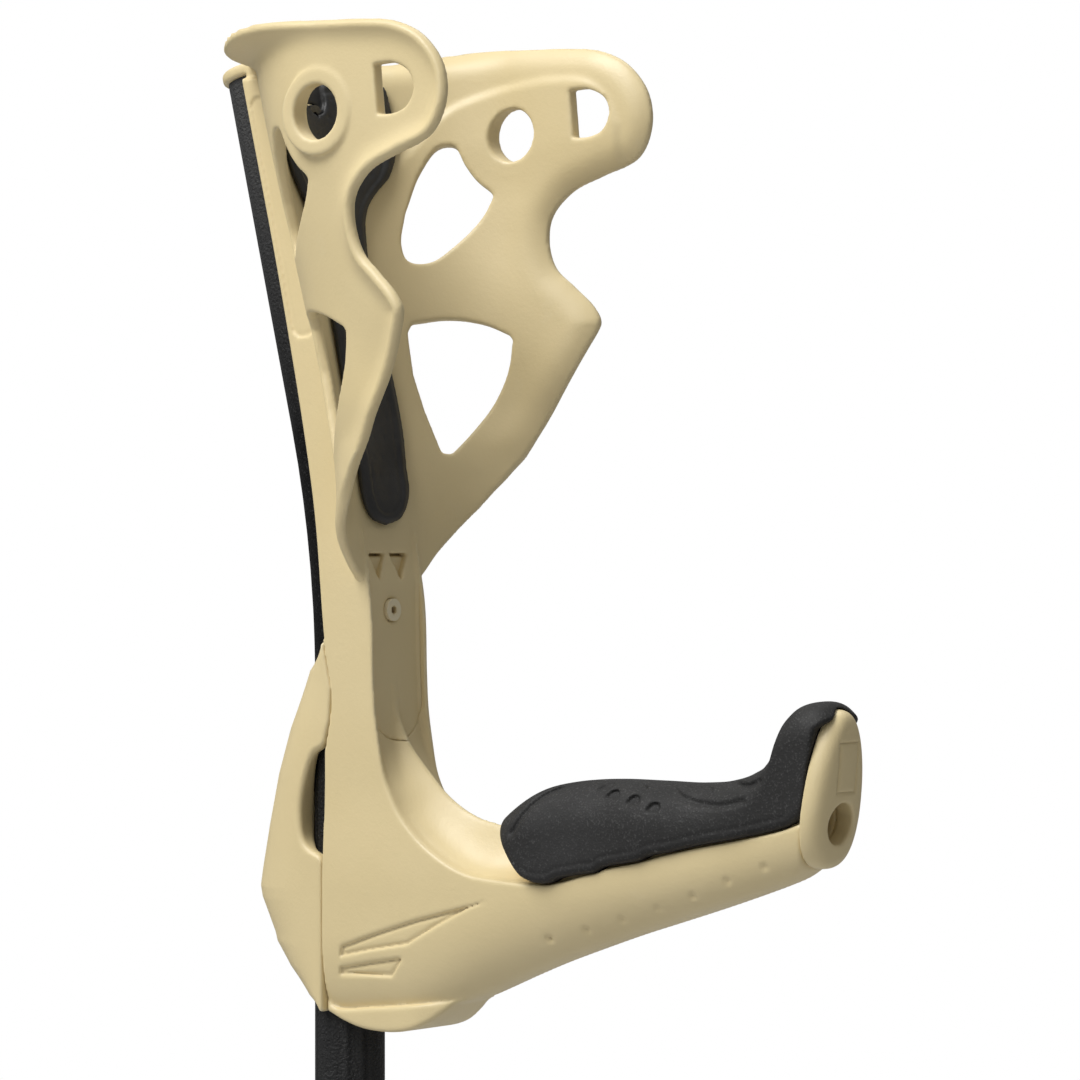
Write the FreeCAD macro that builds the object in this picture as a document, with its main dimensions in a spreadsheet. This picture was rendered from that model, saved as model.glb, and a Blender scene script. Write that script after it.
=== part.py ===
"""Forearm crutch: open cuff, moulded handle bracket, bent upper tube and telescopic leg.

Frame: millimetres, +Z up, +X the way the handle points, the crutch is symmetric about Y = 0.
The origin is the middle of the ferrule's sole. Parts of the bracket and cuff are drawn about
a datum on the lower tube's axis, at the level of the cuff's lower end (datum_height).
"""
import FreeCAD, Part
import os
from math import cos, pi, radians, sin, tan

V = FreeCAD.Vector
doc = FreeCAD.newDocument("forearm_crutch")

# ---------------------------------------------------------------- driving dimensions
DIMENSIONS = [
    # alias, value, what it is
    ("datum_height", 895, "level of the cuff's lower end above the floor"),
    ("tube_dia", 22, "upper tube, outside"),
    ("tube_bore", 19, "upper tube, inside"),
    ("tube_bottom", 440, "lower end of the upper tube above the floor"),
    ("bend_start", -45, "start of the tube's bend, from the datum"),
    ("bend_radius", 350, "radius of the tube's bend"),
    ("lean_angle", 13.5, "lean of the upper stretch, degrees"),
    ("lean_length", 113, "straight stretch above the bend"),
    ("channel_gap", 0.05, "clearance round the tube in the bracket"),
    ("leg_dia", 18, "leg tube, outside"),
    ("leg_bore", 15.6, "leg tube, inside"),
    ("leg_bottom", 14, "lower end of the leg tube above the floor"),
    ("leg_top", 604, "upper end of the leg tube above the floor"),
    ("button_height", 580, "snap button above the floor, at the middle setting"),
    ("button_dia", 6.4, "snap button"),
    ("setting_pitch", 25, "pitch of the height settings"),
    ("settings_below", 4, "settings below the middle one"),
    ("settings_above", 2, "settings above the middle one"),
    ("setting_dia", 7.2, "height holes in the upper tube"),
    ("bush_length", 34, "guide bush inside the upper tube"),
    ("post_half", 14, "half width of the bracket's post"),
    ("cuff_wall", 3.6, "wall of the cuff"),
    ("cuff_hole_dia", 17, "round hole in each wing"),
    ("cuff_ring_dia", 24, "raised ring round that hole"),
    ("pad_thick", 4, "forearm pad"),
    ("soft_gap", 0.3, "clearance round soft parts"),
    ("tongue_half", 12.5, "half width of the cuff's tongue"),
    ("screw_dia", 4, "cuff screws, thread"),
    ("screw_head", 7, "cuff screws, head"),
    ("nut_dia", 6, "rivet nuts in the upper tube"),
    ("nut_length", 8, "rivet nuts, length"),
    ("cap_height", 46, "handle end cap"),
    ("cap_width", 26, "handle end cap"),
    ("cap_thick", 6.5, "handle end cap"),
    ("cap_hole", 12.5, "hole in the end cap"),
    ("cap_spigot", 15, "spigot behind the end cap"),
    ("ferrule_sole", 44, "ferrule, sole diameter"),
    ("ferrule_body", 27, "ferrule, body diameter"),
    ("ferrule_height", 52, "ferrule, height"),
]
sheet = doc.addObject("Spreadsheet::Sheet", "Sizes")
for row, (alias, value, note) in enumerate(DIMENSIONS, start=1):
    sheet.set("A%d" % row, note)
    sheet.set("B%d" % row, str(value))
    sheet.setAlias("B%d" % row, alias)
doc.recompute()


def size(alias):
    """Value of one cell."""
    return float(sheet.get(alias))


# ---------------------------------------------------------------- helpers
def bind(obj, **expressions):
    """Bind properties to the sheet: an alias, or an expression that uses Sizes."""
    for prop, text in expressions.items():
        obj.setExpression(prop.replace("__", "."), text)
    return obj


def place(obj, x=0, y=0, z=0, axis=V(0, 0, 1), angle=0):
    obj.Placement = FreeCAD.Placement(V(x, y, z), FreeCAD.Rotation(axis, angle))
    return obj


def cylinder(name, dia, length, x=0, y=0, z=0, axis=V(0, 0, 1), angle=0):
    """Cylinder; dia and length are expressions over the sheet."""
    obj = doc.addObject("Part::Cylinder", name)
    bind(obj, Radius="(%s) / 2" % dia, Height=length)
    return place(obj, x, y, z, axis, angle)


def along_x(name, dia, length, x, y, z):
    """Cylinder whose axis runs towards +X."""
    return cylinder(name, dia, length, x, y, z, V(0, 1, 0), 90)


def cut(name, base, tool):
    obj = doc.addObject("Part::Cut", name)
    obj.Base, obj.Tool = base, tool
    return obj


def join(name, parts):
    obj = doc.addObject("Part::MultiFuse", name)
    obj.Shapes = parts
    obj.Refine = True
    return obj


def common(name, parts):
    obj = doc.addObject("Part::MultiCommon", name)
    obj.Shapes = parts
    return obj


def sketch(name, edges, plane="XZ", offset=0):
    """Closed sketch from ("line", points) and ("curve", points) stretches, end to end."""
    obj = doc.addObject("Sketcher::SketchObject", name)
    for kind, points in edges:
        pts = [V(a, b, 0) for a, b in points]
        if kind == "curve":
            spline = Part.BSplineCurve()
            spline.interpolate(pts)
            obj.addGeometry(spline, False)
        else:
            for start, end in zip(pts, pts[1:]):
                obj.addGeometry(Part.LineSegment(start, end), False)
    if plane == "XZ":
        place(obj, 0, offset, 0, V(1, 0, 0), 90)
    elif plane == "YZ":
        obj.Placement = FreeCAD.Placement(V(offset, 0, 0), FreeCAD.Rotation(V(0, 1, 0), V(0, 0, 1), V(1, 0, 0)))
    else:
        place(obj, 0, 0, offset)
    return obj


def prism(name, outline, half):
    """Outline pushed out the same distance to both sides; half is an expression."""
    obj = doc.addObject("Part::Extrusion", name)
    obj.Base = outline
    obj.DirMode = "Normal"
    obj.Solid = True
    obj.Symmetric = True
    bind(obj, LengthFwd="2 * (%s)" % half)
    return obj


def loft(name, sections, ruled=False):
    obj = doc.addObject("Part::Loft", name)
    obj.Sections = sections
    obj.Solid = True
    obj.Ruled = ruled
    return obj


parts = {}


def finish(node, obj, datum=True):
    """Name a finished piece; pieces drawn about the datum are lifted to it."""
    obj.Label = node
    if datum:
        bind(obj, Placement__Base__z="Sizes.datum_height")
    parts[node] = obj
    return obj


# ---------------------------------------------------------------- upper tube
def tube_sweep(name, dia, grow=""):
    """The bent tube's volume at one diameter, about the datum."""
    lean = radians(size("lean_angle"))
    radius, start = size("bend_radius"), size("bend_start")
    bottom = size("tube_bottom") - size("datum_height")
    end_x, end_z = -radius * (1 - cos(lean)), start + radius * sin(lean)
    mid_x, mid_z = -radius * (1 - cos(lean / 2)), start + radius * sin(lean / 2)
    top_x = end_x - size("lean_length") * sin(lean)
    top_z = end_z + size("lean_length") * cos(lean)
    path = doc.addObject("Sketcher::SketchObject", name + "_path")
    path.addGeometry(Part.LineSegment(V(0, bottom, 0), V(0, start, 0)), False)
    path.addGeometry(Part.Arc(V(0, start, 0), V(mid_x, mid_z, 0), V(end_x, end_z, 0)), False)
    path.addGeometry(Part.LineSegment(V(end_x, end_z, 0), V(top_x, top_z, 0)), False)
    place(path, 0, 0, 0, V(1, 0, 0), 90)
    ring = doc.addObject("Part::Circle", name + "_ring")
    bind(ring, Radius="(%s) / 2 + (%s)" % (dia, grow or "0"))
    place(ring, 0, 0, bottom)
    body = doc.addObject("Part::Sweep", name)
    body.Sections = [ring]
    body.Spine = (path, ["Edge1", "Edge2", "Edge3"])
    body.Solid = True
    body.Frenet = False
    return body


tube_outer = tube_sweep("tube_outer", "Sizes.tube_dia")
tube_inner = tube_sweep("tube_inner", "Sizes.tube_bore")
tube_channel = tube_sweep("tube_channel", "Sizes.tube_dia", "Sizes.channel_gap")

button_z = size("button_height") - size("datum_height")
settings = range(-int(size("settings_below")), int(size("settings_above")) + 1)
setting_holes = [
    along_x("setting_hole_%d" % i, "Sizes.setting_dia", "14", -14, 0, button_z + n * size("setting_pitch"))
    for i, n in enumerate(settings)]

LOWER_SCREW_Z, UPPER_SCREW_Z, COVER_SCREW_Z = -21.8, 134, -113
screw_holes = [
    along_x("tube_nut_low", "Sizes.nut_dia", "12", 0, 0, LOWER_SCREW_Z),
    along_x("tube_nut_high", "Sizes.nut_dia", "14", -33, 0, UPPER_SCREW_Z),
    along_x("tube_nut_cover", "Sizes.nut_dia", "12", -14, 0, COVER_SCREW_Z)]
tube_wall = cut("tube_wall", tube_outer, tube_inner)
finish("upper_tube", cut("upper_tube", tube_wall, join("tube_holes", setting_holes + screw_holes)))


# ---------------------------------------------------------------- cuff volumes
# Level, back of the U, radius of its round, flare of its wings in degrees (middle of the wall)
CUFF_SECTIONS = [
    (-14, 14.6, 90, 0), (0, 12, 60, 0), (9, 10.5, 47, 0), (20, 8.7, 41.5, 0), (44, 3.6, 41.5, 3),
    (68, -2.2, 42, 12), (100, -10, 46, 7), (129, -17, 49, 1), (162, -25, 50.5, 0)]


def u_section(name, level, back, radius, flare, grow):
    """U open towards +X, grown outwards by grow and closed far in front."""
    centre, reach, turn = back + radius, 110, radians(flare)
    rad = radius + grow
    tx, ty = centre - rad * sin(turn), rad * cos(turn)
    wide = ty + (reach - tx) * tan(turn)
    obj = doc.addObject("Sketcher::SketchObject", name)
    obj.addGeometry(Part.Arc(V(tx, -ty, 0), V(centre - rad, 0, 0), V(tx, ty, 0)), False)
    obj.addGeometry(Part.LineSegment(V(tx, ty, 0), V(reach, wide, 0)), False)
    obj.addGeometry(Part.LineSegment(V(reach, wide, 0), V(reach, -wide, 0)), False)
    obj.addGeometry(Part.LineSegment(V(reach, -wide, 0), V(tx, -ty, 0)), False)
    return place(obj, 0, 0, level)


def cuff_volume(name, grow):
    rows = [u_section("%s_%d" % (name, i), z, back, rad, flare, grow)
            for i, (z, back, rad, flare) in enumerate(CUFF_SECTIONS)]
    return loft(name, rows)


half_wall = size("cuff_wall") / 2
pad_back = half_wall + size("soft_gap")
cuff_outside = cuff_volume("cuff_outside", half_wall)
cuff_inside = cuff_volume("cuff_inside", -half_wall)
pad_outside = cuff_volume("pad_outside", -pad_back)
pad_inside = cuff_volume("pad_inside", -pad_back - size("pad_thick"))

# Side outline of the wings: level rim, rounded nose, waist, lower point, long sloping edge
cuff_outline = sketch("cuff_outline", [
    ("line", [(-27, 157), (50, 157)]),
    ("curve", [(50, 157), (61, 154.5), (71, 149), (78, 140), (79, 130), (74, 120.5), (61, 115.5),
               (49, 110.5), (42, 103), (41, 95), (44, 86), (51, 79.5), (58, 73), (59.5, 67)]),
    ("curve", [(59.5, 67), (53.5, 53), (46, 40), (38.5, 28), (35, 22)]),
    ("line", [(35, 22), (35, -14), (9, -14), (5, 4), (-10, 40), (-27, 110), (-38, 157), (-27, 157)])])
# Front outline: below the wings the cuff narrows to the width of the post
cuff_front = sketch("cuff_front", [
    ("curve", [(-41, 24), (-37.5, 18), (-32.8, 9), (-26.3, 0), (-21.6, -5), (-17, -10), (-12, -14)]),
    ("line", [(-12, -14), (12, -14)]),
    ("curve", [(12, -14), (17, -10), (21.6, -5), (26.3, 0), (32.8, 9), (37.5, 18), (41, 24)]),
    ("line", [(41, 24), (62, 24), (62, 160), (-62, 160), (-62, 24), (-41, 24)])], plane="YZ")
window_upper = sketch("window_upper", [
    ("curve", [(-1, 104), (1, 117), (5, 126), (9.5, 125), (13, 119), (18, 114.5), (21.5, 110),
               (19, 102.5), (12, 93), (4, 87.5), (0.5, 92), (-1, 104)])])
window_lower = sketch("window_lower", [
    ("curve", [(6, 60), (5, 67.5), (11, 70), (21, 68.5), (30, 65), (33.5, 60), (31.5, 49), (26, 38),
               (19.5, 28.5), (15, 30), (11, 42), (6, 60)])])
d_slot = sketch("d_slot", [
    ("line", [(52.5, 127), (51, 142)]),
    ("curve", [(51, 142), (58, 142), (64, 139), (66, 134), (63.5, 129), (58, 127), (52.5, 127)])])
HOLE_X, HOLE_Z = 28.5, 129

wing_volume = common("wing_volume", [
    prism("wing_sides", cuff_outline, "62"), prism("wing_fronts", cuff_front, "130")])
wing_windows = join("wing_windows", [
    prism("cut_upper", window_upper, "70"), prism("cut_lower", window_lower, "70"),
    prism("cut_slot", d_slot, "70"),
    cylinder("cut_hole", "Sizes.cuff_hole_dia", "140", HOLE_X, 70, HOLE_Z, V(1, 0, 0), 90)])
ring_boss = common("ring_boss", [
    cut("ring_layer", cuff_volume("ring_outside", half_wall + 1.2), cuff_inside),
    cylinder("ring_round", "Sizes.cuff_ring_dia", "140", HOLE_X, 70, HOLE_Z, V(1, 0, 0), 90)])
rim_outline = sketch("rim_outline", [
    ("line", [(-34, 153.5), (56, 153.5)]),
    ("curve", [(56, 153.5), (53, 156.5), (48, 157)]),
    ("line", [(48, 157), (-36, 157), (-34, 153.5)])])
rim_lip = common("rim_lip", [
    cut("rim_layer", cuff_volume("rim_outside", half_wall + 2.2), cuff_inside),
    prism("rim_band", rim_outline, "62")])

# Tongue below the cuff, let into the front of the post and rounded at its foot
tongue_side = sketch("tongue_side", [
    ("line", [(13.6, 4), (13.6, -63), (16.8, -63), (16.6, -20), (15.5, 0), (14, 4), (13.6, 4)])])
tongue_front = join("tongue_front", [
    place(bind(doc.addObject("Part::Box", "tongue_bar"), Length="20",
               Width="2 * Sizes.tongue_half", Height="54"), 5, -size("tongue_half"), -50),
    along_x("tongue_foot", "2 * Sizes.tongue_half", "20", 5, 0, -50)])
tongue = common("tongue", [prism("tongue_plate", tongue_side, "Sizes.tongue_half"), tongue_front])

# ---------------------------------------------------------------- handle bracket
# Side outlines of the bracket: its edge (a crease each side) and its middle (a groove in the
# post that turns into a ridge over the web). Both use the same run of stretches.
POST_REAR = [(1.2, -66), (3.7, -50), (0.5, -31), (-4.0, 12), (-16.5, 75), (-33.5, 146)]


def bracket_outline(name, offset, front_top, front_low, web):
    return sketch(name, [
        ("line", [(1.2, -148), (1.2, -66)]),
        ("curve", POST_REAR),
        ("line", [POST_REAR[-1], front_top[0]]),
        ("curve", front_top + front_low),
        ("curve", [front_low[-1]] + web),
        ("line", [web[-1], (66, -132)]),
        ("curve", [(66, -132), (52, -138), (44, -147), (38, -150)]),
        ("line", [(38, -150), (8, -150), (1.2, -148)])], offset=offset)


EDGE = ([(-22, 146), (-16.3, 123), (-0.6, 65.5), (7.5, 31)], [(14.5, 5), (19.3, -18.5)],
        [(20.5, -42), (23.5, -67), (31.4, -84.6), (46, -96.5), (66, -102)])
MIDDLE = ([(-25, 146), (-19.3, 123), (-3.6, 65.5), (5, 31)], [(12, 5), (15.5, -18.5)],
          [(17.0, -42), (22.5, -61), (31, -71.5), (45, -82.6), (66, -88.5)])
half = size("post_half")
bracket_loft = loft("bracket_loft", [
    bracket_outline("edge_near", -half, *EDGE), bracket_outline("middle", 0, *MIDDLE),
    bracket_outline("edge_far", half, *EDGE)], ruled=True)

# Casing round the tube, a little wider than the post
casing_outline = sketch("casing_outline", [
    ("line", [(1.2, -148), (1.2, -85)]),
    ("curve", [(1.2, -85), (12, -92), (24, -104), (36, -112), (60, -117)]),
    ("line", [(60, -117), (60, -126)]),
    ("curve", [(60, -126), (50, -132), (42, -142), (34, -146)]),
    ("line", [(34, -146), (8, -148), (1.2, -148)])])
casing = prism("casing", casing_outline, "Sizes.post_half + 1.5")

# Skirt under the casing, in front of the tube's exit
skirt_front = cylinder("skirt_front", "27", "6", 30, 0, -153)
skirt_link = place(bind(doc.addObject("Part::Box", "skirt_link"), Length="28.8", Width="27",
                        Height="6"), 1.2, -13.5, -153)
skirt = join("skirt", [skirt_front, skirt_link])


def oval(name, station, level, half_w, half_h, corner):
    """Rounded oblong across the handle at one station."""
    corner = min(corner, 0.95 * half_w, 0.95 * half_h)
    w, hgt, k = half_w - corner, half_h - corner, corner * (1 - cos(pi / 4))
    obj = doc.addObject("Sketcher::SketchObject", name)
    ring = [(w, -half_h), (half_w - k, -half_h + k), (half_w, -hgt), (half_w, hgt),
            (half_w - k, half_h - k), (w, half_h), (-w, half_h), (-half_w + k, half_h - k),
            (-half_w, hgt), (-half_w, -hgt), (-half_w + k, -half_h + k), (-w, -half_h)]
    ring = [V(a, b, 0) for a, b in ring]
    for first in (0, 3, 6, 9):
        obj.addGeometry(Part.Arc(ring[first], ring[first + 1], ring[first + 2]), False)
        obj.addGeometry(Part.LineSegment(ring[first + 2], ring[(first + 3) % 12]), False)
    obj.Placement = FreeCAD.Placement(
        V(station, 0, level), FreeCAD.Rotation(V(0, 1, 0), V(0, 0, 1), V(1, 0, 0)))
    return obj


# Station, middle level, half width, half height: the handle with its grip on
HANDLE = [(60, -112.5, 15.0, 25.5), (84, -101, 16.5, 27.2), (112, -94.8, 15.5, 23.6),
          (145, -89, 14, 19.2), (179.5, -83, 13, 12.5)]


def handle_volume(name, inset_w, inset_h, corner, stations=HANDLE):
    return loft(name, [
        oval("%s_%d" % (name, i), x, level, half_w - inset_w, half_h - inset_h, corner)
        for i, (x, level, half_w, half_h) in enumerate(stations)])


grip_zone = sketch("grip_zone", [
    ("curve", [(65, -81), (68, -88), (76, -98), (86, -102.5), (100, -99.5), (118, -95), (138, -89.5),
               (158, -86), (172, -82), (178, -76)]),
    ("line", [(178, -76), (192, -76), (192, -40), (65, -40), (65, -81)])])
handle_full = handle_volume("handle_full", 0, 0, 11)
handle_plastic = handle_volume("handle_plastic", 0.8, 0.4, 10)
handle_core = handle_volume("handle_core", 5.0, 6.5, 6)
core_gap = handle_volume("core_gap", 4.7, 6.2, 6.3)
# Cored-out middle, open into the tube's channel
handle_void = handle_volume("handle_void", 7.5, 9.0, 5, [(2,) + HANDLE[0][1:]] + HANDLE[1:4])
horn_outline = sketch("horn_outline", [
    ("curve", [(152, -74), (159, -66.5), (165, -62.5), (168.2, -54), (173.5, -47), (180.5, -45.8),
               (184, -50)]),
    ("line", [(184, -50), (184, -74), (152, -74)])])
horn = prism("horn", horn_outline, "11.5")
grip_band = prism("grip_band", grip_zone, "30")
arm = join("arm", [cut("arm_shell", handle_plastic, grip_band), handle_core])

# Everything in front of the end cap's leaning back face, and the room for its spigot
CAP_LEAN, CAP_X, CAP_Z, CAP_SPIGOT_Z, CAP_SEAT = 7.5, 178.9, -72, -9.5, -7.5
cap_frame = FreeCAD.Placement(V(CAP_X, 0, CAP_Z), FreeCAD.Rotation(V(0, 1, 0), CAP_LEAN))
end_box = place(bind(doc.addObject("Part::Box", "end_box"), Length="40", Width="60",
                     Height="100"), 0, -30, -50)
spigot_room = along_x("spigot_room", "Sizes.cap_spigot + 0.3", "12", -10.3, 0, CAP_SPIGOT_Z)
for tool in (end_box, spigot_room):
    tool.Placement = cap_frame.multiply(tool.Placement)
end_trim = join("end_trim", [end_box, spigot_room])

# Hook over the tube's upper end
lean = size("lean_angle")
TUBE_TOP_X = -size("bend_radius") * (1 - cos(radians(lean))) - size("lean_length") * sin(radians(lean))
TUBE_TOP_Z = (size("bend_start") + size("bend_radius") * sin(radians(lean))
              + size("lean_length") * cos(radians(lean)))
top_hook = cylinder("top_hook", "25", "4", TUBE_TOP_X - 0.02, 0, TUBE_TOP_Z + 0.08, V(0, 1, 0), -lean)
hook_web = prism("hook_web", sketch("hook_web_side", [
    ("line", [(-27.5, 140), (-22.6, 146), (-24.6, 153.2), (-35, 151), (-33, 145), (-27.5, 140)])]),
    "Sizes.post_half - 1.5")

bracket_solid = join("bracket_solid", [bracket_loft, casing, skirt, arm, top_hook, hook_web])
cap_seat = cap_frame.multVec(V(CAP_SEAT, 0, CAP_SPIGOT_Z))
CAP_SCREW_X, CAP_SCREW_Z = cap_seat.x, cap_seat.z
end_screw_hole = cylinder("end_screw_hole", "Sizes.screw_dia", "14", CAP_SCREW_X, 0, CAP_SCREW_Z,
                          V(0, 1, 0), CAP_LEAN - 90)
bracket_tools = join("bracket_tools", [tube_channel, handle_void, end_trim, end_screw_hole])
bracket_hollow = cut("bracket_hollow", bracket_solid, bracket_tools)
cuff_seat = common("cuff_seat", [
    cuff_outside, place(bind(doc.addObject("Part::Box", "seat_box"), Length="170", Width="130",
                             Height="190"), -40, -65, -14)])
tongue_seat = prism("tongue_seat", sketch("tongue_seat_side", [
    ("line", [(13.6, 4), (13.6, -63), (24, -63), (24, 4), (13.6, 4)])]), "Sizes.tongue_half")
tongue_pocket = common("tongue_pocket", [tongue_seat, tongue_front])
lower_screw_hole = along_x("lower_screw_hole", "Sizes.screw_dia", "16", 0, 0, LOWER_SCREW_Z)
upper_screw_hole = along_x("upper_screw_hole", "Sizes.screw_dia", "26", -34, 0, UPPER_SCREW_Z)
finish("handle_bracket", cut("handle_bracket", bracket_hollow, join("bracket_seats", [
    cuff_seat, tongue_pocket, lower_screw_hole, upper_screw_hole])))

# Cuff: wings and lip, then everything that the bracket fills is taken away
cuff_shell = cut("cuff_shell", common("cuff_wings", [
    cut("cuff_wall_layer", cuff_outside, cuff_inside), wing_volume]), wing_windows)
cuff_trim = cut("cuff_trim", join("cuff_body", [
    cuff_shell, rim_lip, cut("ring_open", ring_boss, wing_windows), tongue]),
    join("cuff_tools", [
        along_x("cuff_screw_low", "Sizes.screw_dia", "14", 6, 0, LOWER_SCREW_Z),
        along_x("cuff_recess_low", "7.6", "14", 15.4, 0, LOWER_SCREW_Z),
        along_x("cuff_screw_high", "Sizes.screw_dia", "26", -34, 0, UPPER_SCREW_Z),
        along_x("cuff_spot_face", "9.4", "8", -17.6, 0, UPPER_SCREW_Z)]))
finish("forearm_cuff", cuff_trim)

# ---------------------------------------------------------------- rear cover
cover_outer = sketch("cover_outer", [
    ("line", [(1.2, -148), (1.2, -66)]),
    ("curve", [(1.2, -66), (3.7, -50), (0.5, -31)]),
    ("line", [(0.5, -31), (-13, -50)]),
    ("curve", [(-13, -50), (-24, -76), (-30, -98), (-34, -112)]),
    ("line", [(-34, -112), (-26, -126), (-16, -138), (-4, -148), (1.2, -148)])])
cover_inner = sketch("cover_inner", [
    ("line", [(2, -145), (2, -56), (-11, -56)]),
    ("curve", [(-11, -56), (-21, -78), (-26.5, -98), (-30, -110)]),
    ("line", [(-30, -110), (-14, -132), (-3, -145), (2, -145)])])
cover_block = prism("cover_block", cover_outer, "Sizes.post_half + 1.5")
cover_taper = sketch("cover_taper", [
    ("line", [(4, -16), (-14, -16)]),
    ("curve", [(-14, -16), (-27, -12), (-34, 0), (-27, 12), (-14, 16)]),
    ("line", [(-14, 16), (4, 16), (4, -16)])], plane="XY", offset=-90)
cover_round = common("cover_round", [cover_block, prism("cover_plan", cover_taper, "80")])
cover_room = common("cover_room", [
    prism("cover_space", cover_inner, "Sizes.post_half - 1"),
    place(prism("cover_plan_in", cover_taper, "80"), 3.2, 0, 0)])
side_window = sketch("side_window", [
    ("line", [(1.2, -98.5), (1.2, -65)]),
    ("curve", [(1.2, -65), (-5.5, -72), (-9.0, -84), (-6.5, -94), (1.2, -98.5)])])
cover_boss = along_x("cover_boss", "8", "24", -28, 0, COVER_SCREW_Z)
cover_base = join("cover_base", [cut("cover_shell", cover_round, cover_room),
                                 common("boss_inside", [cover_boss, cover_round])])
finish("rear_cover", cut("rear_cover", cover_base, join("cover_cuts", [
    tube_channel, bracket_loft, casing, skirt, prism("window_cut", side_window, "20"),
    along_x("cover_screw_hole", "Sizes.screw_dia", "30", -36, 0, COVER_SCREW_Z),
    along_x("cover_screw_seat", "Sizes.screw_head + 0.4", "10", -37.5, 0, COVER_SCREW_Z)])))

# ---------------------------------------------------------------- grip, pad, end cap
grip_block = join("grip_block", [common("grip_saddle", [handle_full, grip_band]), horn])
finish("grip_pad", cut("grip_pad", grip_block, join("grip_tools", [core_gap, end_trim, bracket_loft])))

pad_outline = sketch("pad_outline", [
    ("curve", [(-24, 144), (-27, 132), (-24, 119), (-16, 109), (-12.6, 95), (-12.4, 60), (-12.2, 30),
               (-10.4, 11), (0, 4.5), (10.4, 11), (12.2, 30), (12.4, 60), (12.6, 95), (16, 109),
               (24, 119), (27, 132), (24, 144)]),
    ("line", [(24, 144), (-24, 144)])], plane="YZ", offset=0)
pad_prism = prism("pad_prism", pad_outline, "60")
pad_window = along_x("pad_screw_window", "10", "30", -34, 0, UPPER_SCREW_Z)
finish("forearm_pad", cut("forearm_pad", common("pad_block", [
    cut("pad_layer", pad_outside, pad_inside), pad_prism]), pad_window))

cap_sketch = oval("cap_sketch", 0, 0, size("cap_width") / 2, size("cap_height") / 2, 12.9)
cap_plate = doc.addObject("Part::Extrusion", "cap_plate")
cap_plate.Base, cap_plate.DirMode, cap_plate.Solid = cap_sketch, "Normal", True
bind(cap_plate, LengthFwd="Sizes.cap_thick")
doc.recompute()
cap_edges = [i + 1 for i, e in enumerate(cap_plate.Shape.Edges)
             if abs(e.BoundBox.XMin - size("cap_thick")) < 1e-3]
cap_round = doc.addObject("Part::Fillet", "cap_round")
cap_round.Base = cap_plate
cap_round.Edges = [(i, 3.0, 3.0) for i in cap_edges]
cap_solid = join("cap_solid", [
    cap_round, along_x("cap_spigot", "Sizes.cap_spigot", "10.2", -10, 0, CAP_SPIGOT_Z)])
cap = cut("end_cap", cap_solid, join("cap_cuts", [
    along_x("cap_hole_round", "Sizes.cap_hole", "Sizes.cap_thick + 8", CAP_SEAT, 0, CAP_SPIGOT_Z),
    along_x("cap_screw_hole", "Sizes.screw_dia", "5", -11, 0, CAP_SPIGOT_Z)]))
finish("handle_end_cap", cap, datum=False)
place(cap, CAP_X, 0, 0, V(0, 1, 0), CAP_LEAN)
bind(cap, Placement__Base__z="Sizes.datum_height + %g" % CAP_Z)

# ---------------------------------------------------------------- screws
def screw(node, x, z, length, flip, datum=True):
    """Pan-head screw with a hex socket along X; flip turns its head to -X."""
    head = cylinder(node + "_head", "Sizes.screw_head", "2.4", 0, 0, 0)
    shank = cylinder(node + "_shank", "Sizes.screw_dia", "%g" % length, 0, 0, -length)
    socket = doc.addObject("Part::Prism", node + "_socket")
    socket.Polygon = 6
    bind(socket, Circumradius="1.45", Height="1.5")
    place(socket, 0, 0, 1.0)
    obj = cut(node, join(node + "_solid", [head, shank]), socket)
    finish(node, obj, datum=False)
    place(obj, x, 0, z, V(0, 1, 0), -90 if flip else 90)
    bind(obj, Placement__Base__z="Sizes.datum_height + %g" % z)
    return obj


screw("cuff_lower_screw", 15.4, LOWER_SCREW_Z, 10, False)
screw("cuff_upper_screw", -16.6, UPPER_SCREW_Z, 14, False)
screw("cover_screw", -27.5, COVER_SCREW_Z, 21, True)

# Washer under the upper screw, in the cuff's back
washer = cut("cuff_upper_washer",
             along_x("washer_disc", "9", "1", -17.6, 0, UPPER_SCREW_Z),
             along_x("washer_hole", "Sizes.screw_dia + 0.3", "4", -19, 0, UPPER_SCREW_Z))
finish("cuff_upper_washer", washer)

# Rivet nuts set in the tube's wall, one for each of the three screws
nut_cores, nut_blanks = [], []
for i, (x, z) in enumerate([(1.7, LOWER_SCREW_Z), (-31, UPPER_SCREW_Z), (-10.5, COVER_SCREW_Z)]):
    nut_blanks.append(along_x("nut_blank_%d" % i, "Sizes.nut_dia", "Sizes.nut_length", x, 0, z))
    nut_cores.append(along_x("nut_core_%d" % i, "Sizes.screw_dia", "Sizes.nut_length + 2", x - 1, 0, z))
finish("rivet_nuts", cut("rivet_nuts", join("nut_rows", nut_blanks), join("nut_bores", nut_cores)))

# Plug in the upper tube's open end, under the hook
PLUG_LENGTH = 6
plug_z = TUBE_TOP_Z - PLUG_LENGTH * cos(radians(lean))
top_plug = cylinder("tube_top_plug", "Sizes.tube_bore", "%g" % PLUG_LENGTH,
                    TUBE_TOP_X + PLUG_LENGTH * sin(radians(lean)), 0, 0, V(0, 1, 0), -lean)
finish("tube_top_plug", top_plug, datum=False)
bind(top_plug, Placement__Base__z="Sizes.datum_height + %.4f" % plug_z)

cap_screw = screw("end_cap_screw", 0, 0, 14, False)
place(cap_screw, CAP_SCREW_X, 0, 0, V(0, 1, 0), 90 + CAP_LEAN)
bind(cap_screw, Placement__Base__z="Sizes.datum_height + %.4f" % CAP_SCREW_Z)

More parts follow.
